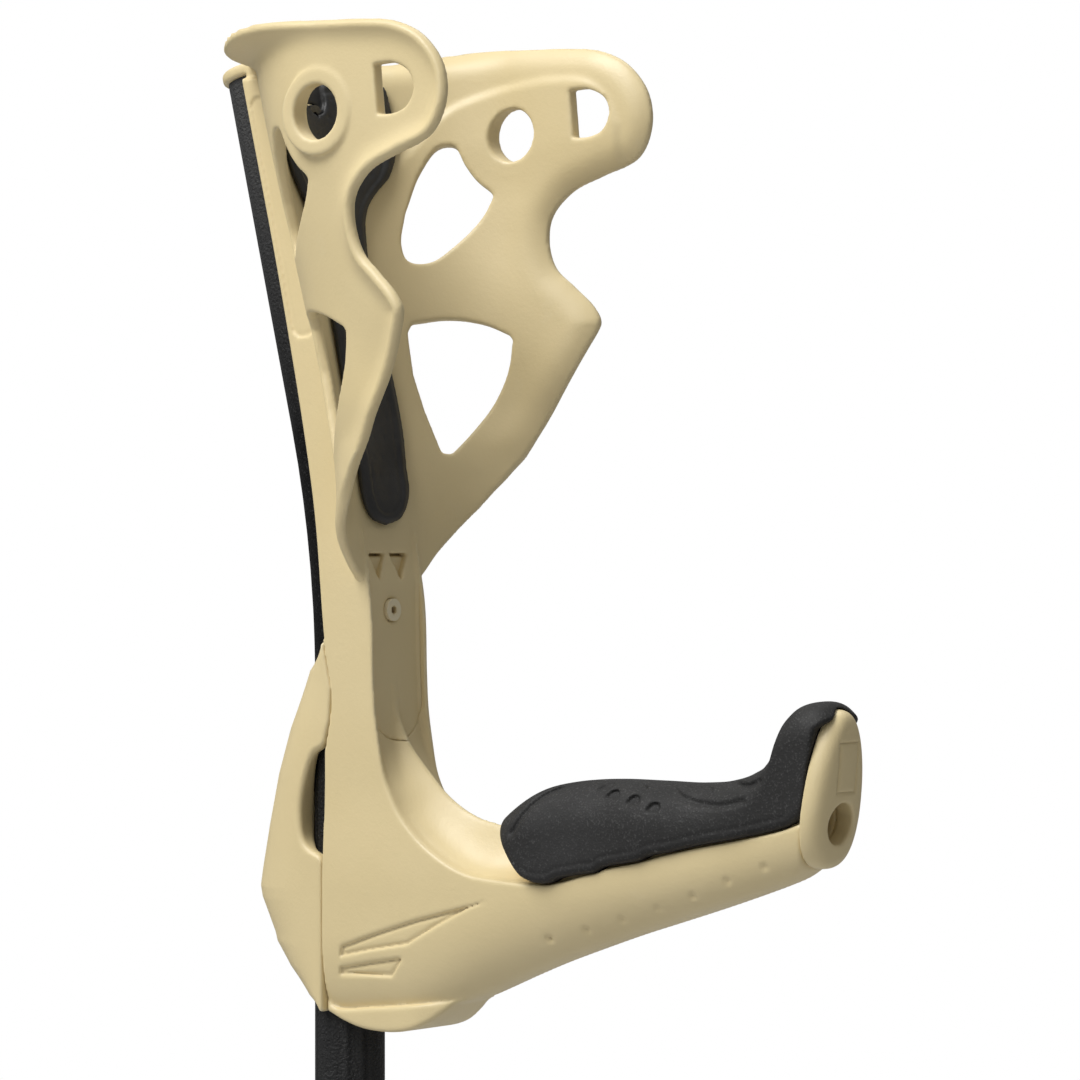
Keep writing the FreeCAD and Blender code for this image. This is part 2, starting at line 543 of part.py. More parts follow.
# ---------------------------------------------------------------- telescopic leg
leg_bar = cylinder("leg_bar", "Sizes.leg_dia", "Sizes.leg_top - Sizes.leg_bottom")
leg_room = cylinder("leg_room", "Sizes.leg_bore", "Sizes.leg_top")
button_hole = along_x("leg_button_hole", "Sizes.button_dia + 0.2", "12", -12, 0, 0)
bind(button_hole, Placement__Base__z="Sizes.button_height - Sizes.leg_bottom")
leg_tube = cut("leg_tube", leg_bar, join("leg_cuts", [leg_room, button_hole]))
finish("leg_tube", leg_tube, datum=False)
bind(leg_tube, Placement__Base__z="Sizes.leg_bottom")

glide = cylinder("glide_collar", "Sizes.tube_bore - 0.1", "6")
glide_stem = cylinder("glide_stem", "Sizes.leg_bore", "12", 0, 0, -12)
leg_plug = join("leg_top_plug", [glide, glide_stem])
finish("leg_top_plug", leg_plug, datum=False)
bind(leg_plug, Placement__Base__z="Sizes.leg_top")

bush_sleeve = cylinder("bush_sleeve", "Sizes.tube_bore", "Sizes.bush_length")
bush_collar = cylinder("bush_collar", "Sizes.tube_dia + 2", "7", 0, 0, -7)
bush_bore = cylinder("bush_bore", "Sizes.leg_dia + 0.1", "Sizes.bush_length + 20", 0, 0, -10)
bush = cut("guide_bush", join("bush_solid", [bush_sleeve, bush_collar]), bush_bore)
finish("guide_bush", bush, datum=False)
bind(bush, Placement__Base__z="Sizes.tube_bottom")

ferrule_side = sketch("ferrule_side", [
    ("line", [(9.05, 12), (9.05, 52), (12.6, 52), (13.5, 50.5), (13.5, 30)]),
    ("curve", [(13.5, 30), (14.5, 18), (19, 8), (22, 3.5)]),
    ("line", [(22, 3.5), (22, 1.2), (20.8, 0), (0, 0), (0, 12), (9.05, 12)])])
ferrule = doc.addObject("Part::Revolution", "ferrule")
ferrule.Source, ferrule.Axis, ferrule.Angle, ferrule.Solid = ferrule_side, V(0, 0, 1), 360, True
finish("ferrule", ferrule, datum=False)

washer_plate = cylinder("ferrule_washer", "Sizes.leg_dia - 0.2", "Sizes.leg_bottom - 12", 0, 0, 12)
finish("ferrule_washer", washer_plate, datum=False)

# ---------------------------------------------------------------- snap button and its spring
button_pin = cylinder("button_pin", "Sizes.button_dia", "7")
doc.recompute()
tip_edge = [i + 1 for i, e in enumerate(button_pin.Shape.Edges)
            if abs(e.BoundBox.ZMin - 7) < 1e-3 and e.BoundBox.ZLength < 1e-3]
button_tip = doc.addObject("Part::Fillet", "button_tip")
button_tip.Base = button_pin
button_tip.Edges = [(i, 1.8, 1.8) for i in tip_edge]
button_foot = cylinder("button_foot", "Sizes.button_dia + 2", "0.8")
button = join("snap_button", [button_tip, button_foot])
finish("snap_button", button, datum=False)
place(button, -5.6, 0, 0, V(0, 1, 0), -90)
bind(button, Placement__Base__z="Sizes.button_height")

# Leaf folded into a V: one arm carries the button, the other bears on the far wall
spring_side = sketch("spring_side", [
    ("line", [(-5.6, 5), (-5.6, -5), (2.2, -46), (4.2, -49), (6.2, -49), (7.3, -46), (7.3, 0),
              (6.8, 0), (6.8, -45.9), (6.0, -48.4), (4.4, -48.4), (2.7, -45.9), (-5.1, -4.9),
              (-5.1, 5), (-5.6, 5)])])
spring = prism("button_spring", spring_side, "2.4")
finish("button_spring", spring, datum=False)
bind(spring, Placement__Base__z="Sizes.button_height")

doc.recompute()

# ---------------------------------------------------------------- checks and export
os.makedirs("parts", exist_ok=True)
for obj in doc.Objects:
    if "Invalid" in obj.State or "Error" in obj.State:
        raise RuntimeError("%s failed: %s" % (obj.Name, obj.State))
for node, obj in parts.items():
    shape = obj.Shape
    if shape.isNull() or not shape.isValid():
        raise RuntimeError("%s has no valid shape" % node)
    box = shape.BoundBox
    print("%-18s %d solid(s) %9.0f mm3  X %.1f..%.1f Y %.1f..%.1f Z %.1f..%.1f" % (
        node, len(shape.Solids), shape.Volume, box.XMin, box.XMax, box.YMin, box.YMax, box.ZMin, box.ZMax))
for node, obj in parts.items():
    obj.Shape.exportStep("parts/%s.step" % node)
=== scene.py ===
"""Looks of a forearm crutch: moulded sand-coloured bracket and cuff, rubber grip and pad, black tube.

Shapes are drawn in millimetres about a datum on the tube's axis (x forward, y to the left, z up).
The moulded pieces are distance fields, meshed by surface nets: a field is negative inside the piece.
"""
import math

import bpy
import numpy as np
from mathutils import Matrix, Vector


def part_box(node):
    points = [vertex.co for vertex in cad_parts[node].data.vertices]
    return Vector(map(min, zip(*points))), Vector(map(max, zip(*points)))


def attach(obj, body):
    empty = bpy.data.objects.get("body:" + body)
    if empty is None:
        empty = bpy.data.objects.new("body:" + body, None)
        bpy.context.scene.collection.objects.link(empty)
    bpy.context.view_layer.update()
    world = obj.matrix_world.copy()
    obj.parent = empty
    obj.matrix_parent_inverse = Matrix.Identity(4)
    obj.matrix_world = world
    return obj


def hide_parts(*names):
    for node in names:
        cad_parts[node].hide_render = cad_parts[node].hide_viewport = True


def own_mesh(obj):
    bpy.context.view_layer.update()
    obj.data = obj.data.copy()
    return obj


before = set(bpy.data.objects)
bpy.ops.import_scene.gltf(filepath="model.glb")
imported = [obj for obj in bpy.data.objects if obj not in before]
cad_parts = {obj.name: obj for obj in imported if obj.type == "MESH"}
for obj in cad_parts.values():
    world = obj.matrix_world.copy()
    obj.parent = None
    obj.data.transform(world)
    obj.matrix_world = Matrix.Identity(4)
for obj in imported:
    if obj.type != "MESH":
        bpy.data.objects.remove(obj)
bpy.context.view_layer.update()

MM = 0.001
# Levels of the cuff's two screws about the datum, which is the level of the cuff's lower end
LOWER_SCREW_Z, UPPER_SCREW_Z = -21.8, 134.0
screw_low, screw_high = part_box("cuff_lower_screw")
DATUM = (screw_low.z + screw_high.z) / 2 - LOWER_SCREW_Z * MM


# ---------------------------------------------------------------- curves and outlines
def spline(points, steps=10):
    """Smooth curve through the points, as a list of points."""
    p = np.array(points, float)
    gap = np.maximum(np.linalg.norm(np.diff(p, axis=0), axis=1), 1e-6) ** 0.5
    t = np.concatenate([[0], np.cumsum(gap)])
    slope = np.gradient(p, t, axis=0)
    u = np.concatenate([np.linspace(a, b, steps, endpoint=False) for a, b in zip(t, t[1:])] + [t[-1:]])
    return cubic(t, p, slope, u)


def cubic(t, p, slope, u):
    """Cubic through stations t with values p and slopes, read at u."""
    i = np.clip(np.searchsorted(t, u, side="right") - 1, 0, len(t) - 2)
    h = t[i + 1] - t[i]
    s = np.clip((u - t[i]) / h, 0, 1)
    if p.ndim > 1:
        h, s = h[..., None], s[..., None]
    a, b, c, d = p[i], p[i + 1], slope[i] * h, slope[i + 1] * h
    rest = 1 - s
    return a * (1 + 2 * s) * rest ** 2 + b * s * s * (3 - 2 * s) + c * s * rest ** 2 - d * s * s * rest


def along(u, stations, column):
    """One column of a station list, read smoothly at u (flat beyond its ends)."""
    rows = np.array(stations, float)
    t, p = rows[:, 0], rows[:, column]
    slope = np.gradient(p, t)
    return cubic(t, p, slope, np.clip(u, t[0], t[-1])).astype(np.float32)


def loop(stretches):
    """Closed outline from ("line", points) and ("curve", points) stretches."""
    out = []
    for kind, points in stretches:
        run = spline(points) if kind == "curve" else np.array(points, float)
        out.extend(run[:-1])
    return np.array(out)


def line_distance(points, a, b):
    """Distance to an open line over the flat grid a x b."""
    a, b = np.meshgrid(a, b, indexing="ij")
    best = np.full(a.shape, 1e9, np.float32)
    for (p, q), (r, s) in zip(points, points[1:]):
        dx, dy = r - p, s - q
        t = np.clip(((a - p) * dx + (b - q) * dy) / max(dx * dx + dy * dy, 1e-12), 0, 1)
        best = np.minimum(best, (a - p - t * dx) ** 2 + (b - q - t * dy) ** 2)
    return np.sqrt(best).astype(np.float32)


def inside_distance(outline, a, b):
    """Distance to a closed outline over the flat grid a x b, negative inside."""
    ring = np.concatenate([outline, outline[:1]])
    distance = line_distance(ring, a, b)
    a, b = np.meshgrid(a, b, indexing="ij")
    odd = np.zeros(a.shape, bool)
    for (p, q), (r, s) in zip(ring, ring[1:]):
        if q != s:
            odd ^= ((q > b) != (s > b)) & (a < (r - p) * (b - q) / (s - q) + p)
    return np.where(odd, -distance, distance)


# ---------------------------------------------------------------- fields
class Grid:
    """Sample points of a piece that is the same on both sides of y = 0; only y >= 0 is worked out."""

    def __init__(self, x, y, z, step):
        self.step = step
        ax, ay, az = (np.arange(a, b + step, step, dtype=np.float32) for a, b in (x, (0, y), z))
        self.low = (x[0], -float(ay[-1]), z[0])
        self.flat = ax, ay, az
        self.x, self.y, self.z = ax[:, None, None], ay[None, :, None], az[None, None, :]

    def side(self, outline):
        """Distance to a closed outline drawn in the XZ plane."""
        return inside_distance(outline, self.flat[0], self.flat[2])[:, None, :]

    def side_line(self, points):
        """Distance to an open line drawn in the XZ plane."""
        return line_distance(points, self.flat[0], self.flat[2])[:, None, :]

    def slope(self, field):
        """The field's gradient, and its size."""
        parts = np.gradient(field, self.step)
        return parts, np.sqrt(parts[0] ** 2 + parts[1] ** 2 + parts[2] ** 2)


def union(a, b, soft=0.0):
    """Both pieces together; soft is the width of the fillet between them."""
    soft = np.maximum(soft, 1e-6)
    h = np.maximum(soft - np.abs(a - b), 0) / soft
    return np.minimum(a, b) - h * h * soft / 4


def both(a, b, soft=0.0):
    """What lies in both pieces."""
    return -union(-a, -b, soft)


def without(a, b, soft=0.0):
    """The first piece with the second cut out."""
    return both(a, -b, soft)


def ramp(value, start, end):
    """0 up to start, 1 from end on, smooth between."""
    t = np.clip((value - start) / (end - start), 0, 1)
    return t * t * (3 - 2 * t)


def rounded(a, b, radius):
    """What lies inside both distances, with its edge rounded."""
    a, b = a + radius, b + radius
    return np.hypot(np.maximum(a, 0), np.maximum(b, 0)) + np.minimum(np.maximum(a, b), 0) - radius


def furrow(distance, width):
    """1 on a line and fading to 0 beside it."""
    return np.exp(-(distance / width) ** 2)


# ---------------------------------------------------------------- meshing
# How near a point may come to its cell's walls, rounds of evening, and how far each round goes
CELL_MARGIN, EVEN_ROUNDS, EVEN_PULL = 0.12, 2, 0.6
SETTLE_ROUNDS, SETTLE_STEP = 2, 0.4


def surface_nets(field, low, step):
    """Quads on the zero level of a field."""
    inside = field < 0
    nx, ny, nz = (n - 1 for n in field.shape)
    corner = [(i, j, k) for i in (0, 1) for j in (0, 1) for k in (0, 1)]

    def part(grid, c):
        return grid[c[0]:c[0] + nx, c[1]:c[1] + ny, c[2]:c[2] + nz]

    count = sum(part(inside, c).astype(np.uint8) for c in corner)
    active = (count > 0) & (count < 8)
    cells = np.argwhere(active)
    value = {c: part(field, c)[active] for c in corner}
    total, hits = np.zeros((len(cells), 3)), np.zeros(len(cells))
    for a in corner:
        for axis in range(3):
            if a[axis]:
                continue
            b = tuple(1 if i == axis else v for i, v in enumerate(a))
            fa, fb = value[a], value[b]
            cross = (fa < 0) != (fb < 0)
            t = np.where(cross, fa / np.where(cross, fa - fb, 1), 0)
            point = np.array(a, float)[None, :].repeat(len(cells), 0)
            point[:, axis] += t
            total += np.where(cross[:, None], point, 0)
            hits += cross
    spots = cells + np.clip(total / hits[:, None], CELL_MARGIN, 1 - CELL_MARGIN)
    ids = np.full(active.shape, -1, np.int64)
    ids[active] = np.arange(len(cells))
    quads = []
    for axis in range(3):
        u, v = [i for i in range(3) if i != axis]
        a = [slice(1, -1)] * 3
        b = list(a)
        a[axis], b[axis] = slice(0, -1), slice(1, None)
        first, second = inside[tuple(a)], inside[tuple(b)]
        for flip, where in ((axis == 1, first & ~second), (axis != 1, ~first & second)):
            at = np.argwhere(where)
            at[:, [u, v]] += 1
            ring = []
            for du, dv in ((-1, -1), (0, -1), (0, 0), (-1, 0)):
                c = at.copy()
                c[:, u] += du
                c[:, v] += dv
                ring.append(ids[c[:, 0], c[:, 1], c[:, 2]])
            ring = np.stack(ring, 1)
            quads.append(ring[:, ::-1] if flip else ring)
    quads = np.concatenate(quads)
    return even_out(field, spots, quads) * step + np.array(low), quads


def even_out(field, spots, quads):
    """Evens the points' spacing and puts them back on the zero level."""
    corners = quads.ravel()
    share = np.bincount(corners, minlength=len(spots))[:, None]
    for _ in range(EVEN_ROUNDS):
        middle = np.repeat(spots[quads].mean(axis=1), 4, axis=0)
        pull = np.stack([np.bincount(corners, weights=w, minlength=len(spots)) for w in middle.T], 1)
        spots = settle(field, spots + EVEN_PULL * (pull / share - spots))
    return spots


def settle(field, spots):
    """Moves points onto the zero level."""
    last_cell = np.array(field.shape) - 1.001
    for _ in range(SETTLE_ROUNDS):
        p = np.clip(spots, 0, last_cell)
        i = p.astype(int)
        f = p - i
        corner = {(a, b, c): field[i[:, 0] + a, i[:, 1] + b, i[:, 2] + c].astype(float)
                  for a in (0, 1) for b in (0, 1) for c in (0, 1)}
        wx, wy, wz = ([1 - f[:, n], f[:, n]] for n in range(3))
        value = sum(v * wx[a] * wy[b] * wz[c] for (a, b, c), v in corner.items())
        grad = np.stack([
            sum((1 if a else -1) * v * wy[b] * wz[c] for (a, b, c), v in corner.items()),
            sum((1 if b else -1) * v * wx[a] * wz[c] for (a, b, c), v in corner.items()),
            sum((1 if c else -1) * v * wx[a] * wy[b] for (a, b, c), v in corner.items())], 1)
        move = value[:, None] * grad / np.maximum((grad ** 2).sum(1), 1e-4)[:, None]
        spots = spots - np.clip(move, -SETTLE_STEP, SETTLE_STEP)
    return spots


def place(name, data):
    """New object in the scene."""
    obj = bpy.data.objects.new(name, data)
    bpy.context.scene.collection.objects.link(obj)
    return obj


def mesh_piece(name, points, faces, smooth=True):
    """Mesh object from points in millimetres about the datum."""
    mesh = bpy.data.meshes.new(name)
    points = np.asarray(points, float) * MM + np.array([0, 0, DATUM])
    mesh.from_pydata(points.tolist(), [], np.asarray(faces).tolist())
    mesh.polygons.foreach_set("use_smooth", [smooth] * len(mesh.polygons))
    mesh.update()
    return place(name, mesh)


def field_piece(name, grid, field):
    """Mesh object from a field on the half grid, mirrored to the other side."""
    field = field.astype(np.float32)
    whole = np.concatenate([field[:, :0:-1], field], axis=1)
    points, faces = surface_nets(whole, grid.low, grid.step)
    return mesh_piece(name, points, faces)


# ---------------------------------------------------------------- shared volumes
TUBE_R, TUBE_GAP = 11.0, 0.15
BEND_START, BEND_RADIUS, LEAN, LEAN_LENGTH = -45.0, 350.0, math.radians(13.5), 113.0
BEND_X, BEND_Z = -BEND_RADIUS * (1 - math.cos(LEAN)), BEND_START + BEND_RADIUS * math.sin(LEAN)
TUBE_TOP = (BEND_X - LEAN_LENGTH * math.sin(LEAN), BEND_Z + LEAN_LENGTH * math.cos(LEAN))


def tube_room(g):
    """Distance to the channel for the bent tube."""
    swing = np.hypot(g.x + BEND_RADIUS, g.z - BEND_START) - BEND_RADIUS
    lean_side = (g.x - BEND_X) * math.cos(LEAN) + (g.z - BEND_Z) * math.sin(LEAN)
    past = (g.z - BEND_Z) * math.cos(LEAN) - (g.x - BEND_X) * math.sin(LEAN)
    offset = np.where(g.z < BEND_START, g.x, np.where(past > 0, lean_side, swing))
    return np.hypot(offset, g.y) - TUBE_R - TUBE_GAP


# The cuff is a U seen from above: level, back of the U, radius of its round and flare of its
# wings in degrees, all for the middle of the wall
CUFF_SECTIONS = [
    (-14, 14.6, 90, 0), (0, 12, 60, 0), (9, 10.5, 47, 0), (20, 8.7, 41.5, 0), (44, 3.6, 41.5, 3),
    (68, -2.2, 42, 12), (100, -10, 46, 7), (129, -17, 49, 1), (162, -24.6, 49.2, 0)]
HALF_WALL = 1.8


def cuff_surface(g, lift=0.0):
    """Distance outwards from the middle of the cuff's wall, moved out by lift, and its direction."""
    back, radius, turn = (along(g.z, CUFF_SECTIONS, n) for n in (1, 2, 3))
    turn = np.radians(turn)
    px, py = g.x - back - radius, g.y
    ahead = px * np.cos(turn) + py * np.sin(turn)
    across = -px * np.sin(turn) + py * np.cos(turn)
    s = np.where(ahead > 0, across, np.hypot(px, py)) - radius - lift
    slope, size = g.slope(s.astype(np.float32))
    return (s / size).astype(np.float32), [part / size for part in slope]


def read_flat(g, flat, x, z):
    """A field over the XZ plane, read between its samples."""
    i = np.clip((x - g.flat[0][0]) / g.step, 0, flat.shape[0] - 1.01)
    k = np.clip((z - g.flat[2][0]) / g.step, 0, flat.shape[1] - 1.01)
    i0, k0 = i.astype(np.int32), k.astype(np.int32)
    i, k = i - i0, k - k0
    return ((flat[i0, k0] * (1 - k) + flat[i0, k0 + 1] * k) * (1 - i)
            + (flat[i0 + 1, k0] * (1 - k) + flat[i0 + 1, k0 + 1] * k) * i)


def on_surface(g, side, s, normal):
    """A side outline's distance along the wall, the same through the wall's whole thickness."""
    flat = side[:, 0, :]
    x, z = g.x - s * normal[0], g.z - s * normal[2]
    value, gx, gz = (read_flat(g, part, x, z) for part in (flat, *np.gradient(flat, g.step)))
    dot = gx * normal[0] + gz * normal[2]
    size = np.sqrt((gx - dot * normal[0]) ** 2 + (dot * normal[1]) ** 2 + (gz - dot * normal[2]) ** 2)
    return value / np.maximum(size, 0.4)


# ---------------------------------------------------------------- forearm cuff
CUFF_GRID = (-42, 84), 57, (-66, 162), 0.75
CUFF_SIDE = [
    ("curve", [(-60, 151.8), (-24, 151.8), (-14, 152.6), (-4, 154.6), (10, 156.0), (28, 156.0), (40, 155.5),
               (50, 155.0), (60, 153.6),
               (70, 149), (77.5, 140), (78.8, 130), (74, 120.5), (61, 115.5), (49, 110.5), (42, 103),
               (41, 95), (44, 86), (51, 79.5), (58, 73), (60.6, 68.5), (59.6, 65)]),
    ("curve", [(59.6, 65), (53, 52), (45.5, 39), (38.4, 27), (34.5, 22), (31.5, 18), (27.8, 13.5),
               (23.8, 9), (20, 3)]),
    ("line", [(20, 3), (18, -30), (-60, -30), (-60, 151.8)])]
# Level and half width of the lower edge where the wings grow out of the dish
CUFF_FRONT = [(-14, 12), (-10, 17), (-5, 21.6), (0, 26.3), (9, 32.8), (18, 37.2), (22, 38.8), (27, 42),
              (34, 50), (44, 62)]
WINDOW_UPPER = [("curve", [(-1, 104), (0.6, 117), (4.2, 125.2), (8.6, 125.6), (12.4, 119.6), (16.4, 114.6),
                           (21.5, 110.6)]),
                ("line", [(21.5, 110.6), (22.4, 109.4)]),
                ("curve", [(22.4, 109.4), (19.6, 103), (12, 93.4), (6.4, 88.2), (2.0, 88.4), (-0.4, 94),
                           (-1, 104)])]
WINDOW_LOWER = [("curve", [(5.4, 68.4), (13, 69.9), (23, 68.4), (32.4, 64.6)]),
                ("line", [(32.4, 64.6), (33.6, 63.0)]),
                ("curve", [(33.6, 63.0), (32.4, 53.5), (28.6, 43.5), (23.4, 34.5), (18.6, 27.0)]),
                ("line", [(18.6, 27.0), (16.4, 27.4), (11.4, 40.5), (7.8, 52), (4.9, 65.5), (5.4, 68.4)])]
D_SLOT = [("line", [(52.5, 127), (51, 142)]),
          ("curve", [(51, 142), (58, 142), (64, 139), (66, 134), (63.5, 129), (58, 127), (52.5, 127)])]
# Upper border of the raised panel on the inner face of each wing
PANEL_TOP = [(-24, 100), (-8, 116), (-1, 127), (2.6, 134), (8, 139.5), (20, 144.0), (31, 146.0),
             (44, 147.0), (58, 145.4), (66, 139), (70, 131)]
# Width of the rolled rim and how much wider it is behind the tube, its height round the wings,
# and what it gains at their noses and behind the tube
RIM_REACH, COLLAR_REACH, RIM_RISE, NOSE_RISE, COLLAR_RISE = 9.0, 1.5, 3.2, 0.3, 7.4
# Round hole in each wing, the boss round it and the level of the boss's face
HOLE, HOLE_R, BOSS_R, BOSS_FACE = (28.5, 129.0), 8.4, 13.2, 51.5
TONGUE_HALF, TONGUE_FOOT, TONGUE_FACE, SCREW_ROOM_R = 12.5, -50.0, 13.9, 3.6
# The two cored pockets above the tongue: half spacing, roof, point and depth
POCKET_Y, POCKET_TOP, POCKET_POINT, POCKET_X = 5.4, -4.2, -12.8, 10.2
# Upper screw: recess in the wall and hole for the thread
UPPER_RECESS_R, UPPER_HOLE_R = 4.7, 2.1


def make_cuff():
    """U-shaped cuff with two windowed wings, a rolled rim and a tongue."""
    g = Grid(*CUFF_GRID)
    side = g.side(loop(CUFF_SIDE))
    front = (g.y - along(g.z, CUFF_FRONT, 1)) * 0.75
    # The wall rolls outwards towards its edge: into a collar behind the tube, a lip round the wings
    nose = ramp(g.x, 30, 50)
    behind = ramp(-g.x, -30, 14)
    rise = RIM_RISE * ramp(g.z, 12, 40) + NOSE_RISE * nose + COLLAR_RISE * behind * ramp(g.z, 120, 132)
    reach = RIM_REACH + COLLAR_REACH * behind
    roll = np.clip((both(side, front, 5) + reach) / reach, 0, 1.15)
    s, normal = cuff_surface(g, rise * roll ** (2.4 + 0.9 * behind))
    share = ramp(g.z, 8, 20)
    edge = on_surface(g, side, s, normal) * share + front * (1 - share)
    panel = g.side(np.concatenate([spline(PANEL_TOP), [(70, 60), (-24, 60)]]))
    relief = ramp(-panel, -1.0, 3.0) * ramp(g.z, 108, 128) * (s < 0)
    d = rounded(np.abs(s) - HALF_WALL - relief, edge, 1.5)
    # Flat boss round the hole, then the openings with softened edges
    ring = np.hypot(g.x - HOLE[0], g.z - HOLE[1])
    boss = both(both(ring - BOSS_R, g.y - BOSS_FACE, 1.0), -(s + HALF_WALL - 0.4), 0.8)
    d = union(d, both(boss, 38 - g.y), 1.2)
    for outline in (WINDOW_UPPER, WINDOW_LOWER, D_SLOT):
        hole = on_surface(g, g.side(loop(outline)), s, normal)
        d = np.where(g.y > 8, without(d, hole, 1.1), d)
    d = without(d, both(ring - HOLE_R, 30 - g.y), 0.8)
    # Tongue let into the front of the post, with the rib running over its foot
    plate = both(both(front_face(g), TONGUE_FACE - g.x, 0.3), tongue_foot(g) + 0.08, 0.15)
    plate = both(plate, g.z - 2, 0.5)
    d = union(d, plate, 3.5)
    screw = np.hypot(g.y, g.z - LOWER_SCREW_Z)
    d = without(d, both(screw - SCREW_ROOM_R, TONGUE_FACE + 0.5 - g.x), 0.7)
    # Small cored pocket each side where the tongue meets the dish
    wedge = np.abs(g.y - POCKET_Y) * 0.9 - (g.z - POCKET_POINT) * 0.46
    wedge = both(wedge, g.z - POCKET_TOP, 0.5)
    d = without(d, both(wedge, POCKET_X - g.x), 0.3)
    spot = np.hypot(g.y, g.z - UPPER_SCREW_Z)
    d = without(d, both(spot - UPPER_RECESS_R, -17.6 - g.x), 0.4)
    d = without(d, both(spot - UPPER_HOLE_R, g.x))
    return field_piece("forearm_cuff_shell", g, d)


# ---------------------------------------------------------------- forearm pad
PAD_GRID = (-34, 20), 31, (0, 150), 0.6
# Level and half width
PAD_HALF = [(4.5, 1.0), (6, 5.6), (8.5, 8.6), (12, 10.6), (24, 11.6), (30, 12.1), (95, 12.4), (101, 13.4),
            (106, 15.6), (111, 19.6), (115, 23.4), (120, 26), (126, 27.6), (134, 28), (146, 27.6)]
PAD_THICK, SOFT_GAP, PAD_FOOT, PAD_TOP = 3.2, 0.3, 4.2, 146.6
# Open notch over the upper screw, and the pocket for the screw's head
NOTCH_R, NOTCH_Z, HEAD_R, HEAD_DEPTH = 5.0, 139.5, 4.0, 2.2
# Moulded pits: level of the first row, row pitch, pitch along a row, shift of every other row
PIT_START, PIT_ROW, PIT_PITCH, PIT_SHIFT = 14, 6.0, 4.8, 2.4


def make_pad():
    """Pad in the back of the cuff, a thick sheet that follows the wall."""
    g = Grid(*PAD_GRID)
    depth = -(cuff_surface(g)[0] + HALF_WALL + SOFT_GAP)
    half = along(g.z, PAD_HALF, 1)
    edge = both((g.y - half) * 0.93, both(g.z - PAD_TOP, PAD_FOOT - g.z), 3.5)
    # Bevelled border and a shallow channel inside it
    crown = PAD_THICK - 1.3 * ramp(edge, -3.2, -0.4)
    d = both(both(depth - crown, -depth, 0.5), edge, 1.0)
    d = d + 0.35 * furrow(edge + 4.4, 0.7)
    notch = np.hypot(g.y, np.minimum(g.z - NOTCH_Z, 0)) - NOTCH_R
    d = without(d, both(notch, 1.2 - depth), 0.9)
    head = np.hypot(g.y, g.z - UPPER_SCREW_Z) - HEAD_R
    d = without(d, both(head, depth - HEAD_DEPTH), 0.2)
    row = np.round((g.z - PIT_START) / PIT_ROW)
    shift = PIT_SHIFT * np.mod(row, 2)
    column = np.round((g.y - shift) / PIT_PITCH)
    pit = np.hypot(g.y - shift - PIT_PITCH * column, g.z - PIT_START - PIT_ROW * row)
    d = d + 0.4 * furrow(pit, 0.55) * ramp(-edge, 3.0, 5.0) * ramp(depth, 1.5, 2.5)
    return field_piece("forearm_pad_skin", g, d)


# ---------------------------------------------------------------- handle bracket
BRACKET_GRID = (-50, 184), 17.2, (-156, 160), 0.66
# Back of the post, then its front: at the edges, in the groove between them, and on the rib
POST_REAR = [(1.2, -66), (3.7, -50), (0.5, -31), (-4.0, 12), (-16.5, 75), (-33.5, 146)]
POST_TOP = [(-22, 146), (-16.3, 123), (-0.6, 65.5), (7.5, 31), (14.5, 5)]
EDGE = POST_TOP + [(19.5, -18.5), (20.5, -42), (21.1, -52.5), (22.7, -63), (24.7, -72.5), (27.5, -78.6),
                   (31.4, -84.6), (37.3, -90.5), (43.2, -94.8), (51, -99.0), (58.7, -101.6), (70, -102.8),
                   (80, -103.4)]
FLOOR = POST_TOP[:-1] + [(11.0, 8), (14.6, -10), (15.4, -18.5), (17.0, -42), (18.8, -58), (22.0, -70),
                         (29.8, -84), (43.0, -95.2), (58.7, -101.8), (70, -103), (80, -103.5)]
RIB = [(-33.2, 146), (-16.2, 75), (-3.6, 12), (5, -22), (12.5, -36), (17.0, -44), (18.9, -52.5),
       (21.4, -58.8), (24.3, -63.6), (28.3, -68.2), (33.4, -73.3), (38.9, -78.4), (44.8, -82.3),
       (52, -85.4), (60, -87.2), (66, -89.6), (72, -94.6), (80, -101.6)]
# Top of the handle under the grip, and the line along the bottom of casing and handle
UNDER_GRIP = [(80, -103.4), (90, -103.0), (101, -100.2), (109, -97.8), (122, -95.0), (133, -92.0),
              (159, -86.6), (172, -83.4), (186, -78)]
BOTTOM = [(186, -93.6), (179.5, -95.7), (162, -102.2), (145, -108.0), (128, -113.4), (112, -118.4),
          (98, -123.2), (84, -128.2), (72, -133.0), (62, -137.2), (54, -140.2), (40, -143.5),
          (20, -145.6), (1.2, -147.2)]
# Side view of the skirt round the tube below the casing, along its top and back along its foot
SKIRT_TOP = [(52, -140.2), (46, -141.2), (37, -142.6), (19, -144.6), (5, -145.6), (1.2, -143.6)]
SKIRT_FOOT = [(1.2, -146.8), (8, -149.6), (15, -151.4), (24, -152.0), (32, -151.2), (38.6, -149),
              (44.9, -145), (48.5, -142.2), (52, -140.6)]
# Station along the handle, level of its middle, half width, half height
HANDLE = [(52, -116.0, 15.4, 27.0), (60, -112.5, 15.0, 25.5), (84, -101, 15.6, 27.2),
          (112, -94.8, 14.8, 23.6), (145, -89, 13.4, 19.2), (179.5, -83, 12.4, 12.7), (190, -81, 12, 12)]


def body_outline(front):
    """Side of post, casing and handle with one of the front lines."""
    return np.concatenate([spline(POST_REAR), spline(front), spline(UNDER_GRIP)[1:], spline(BOTTOM)])


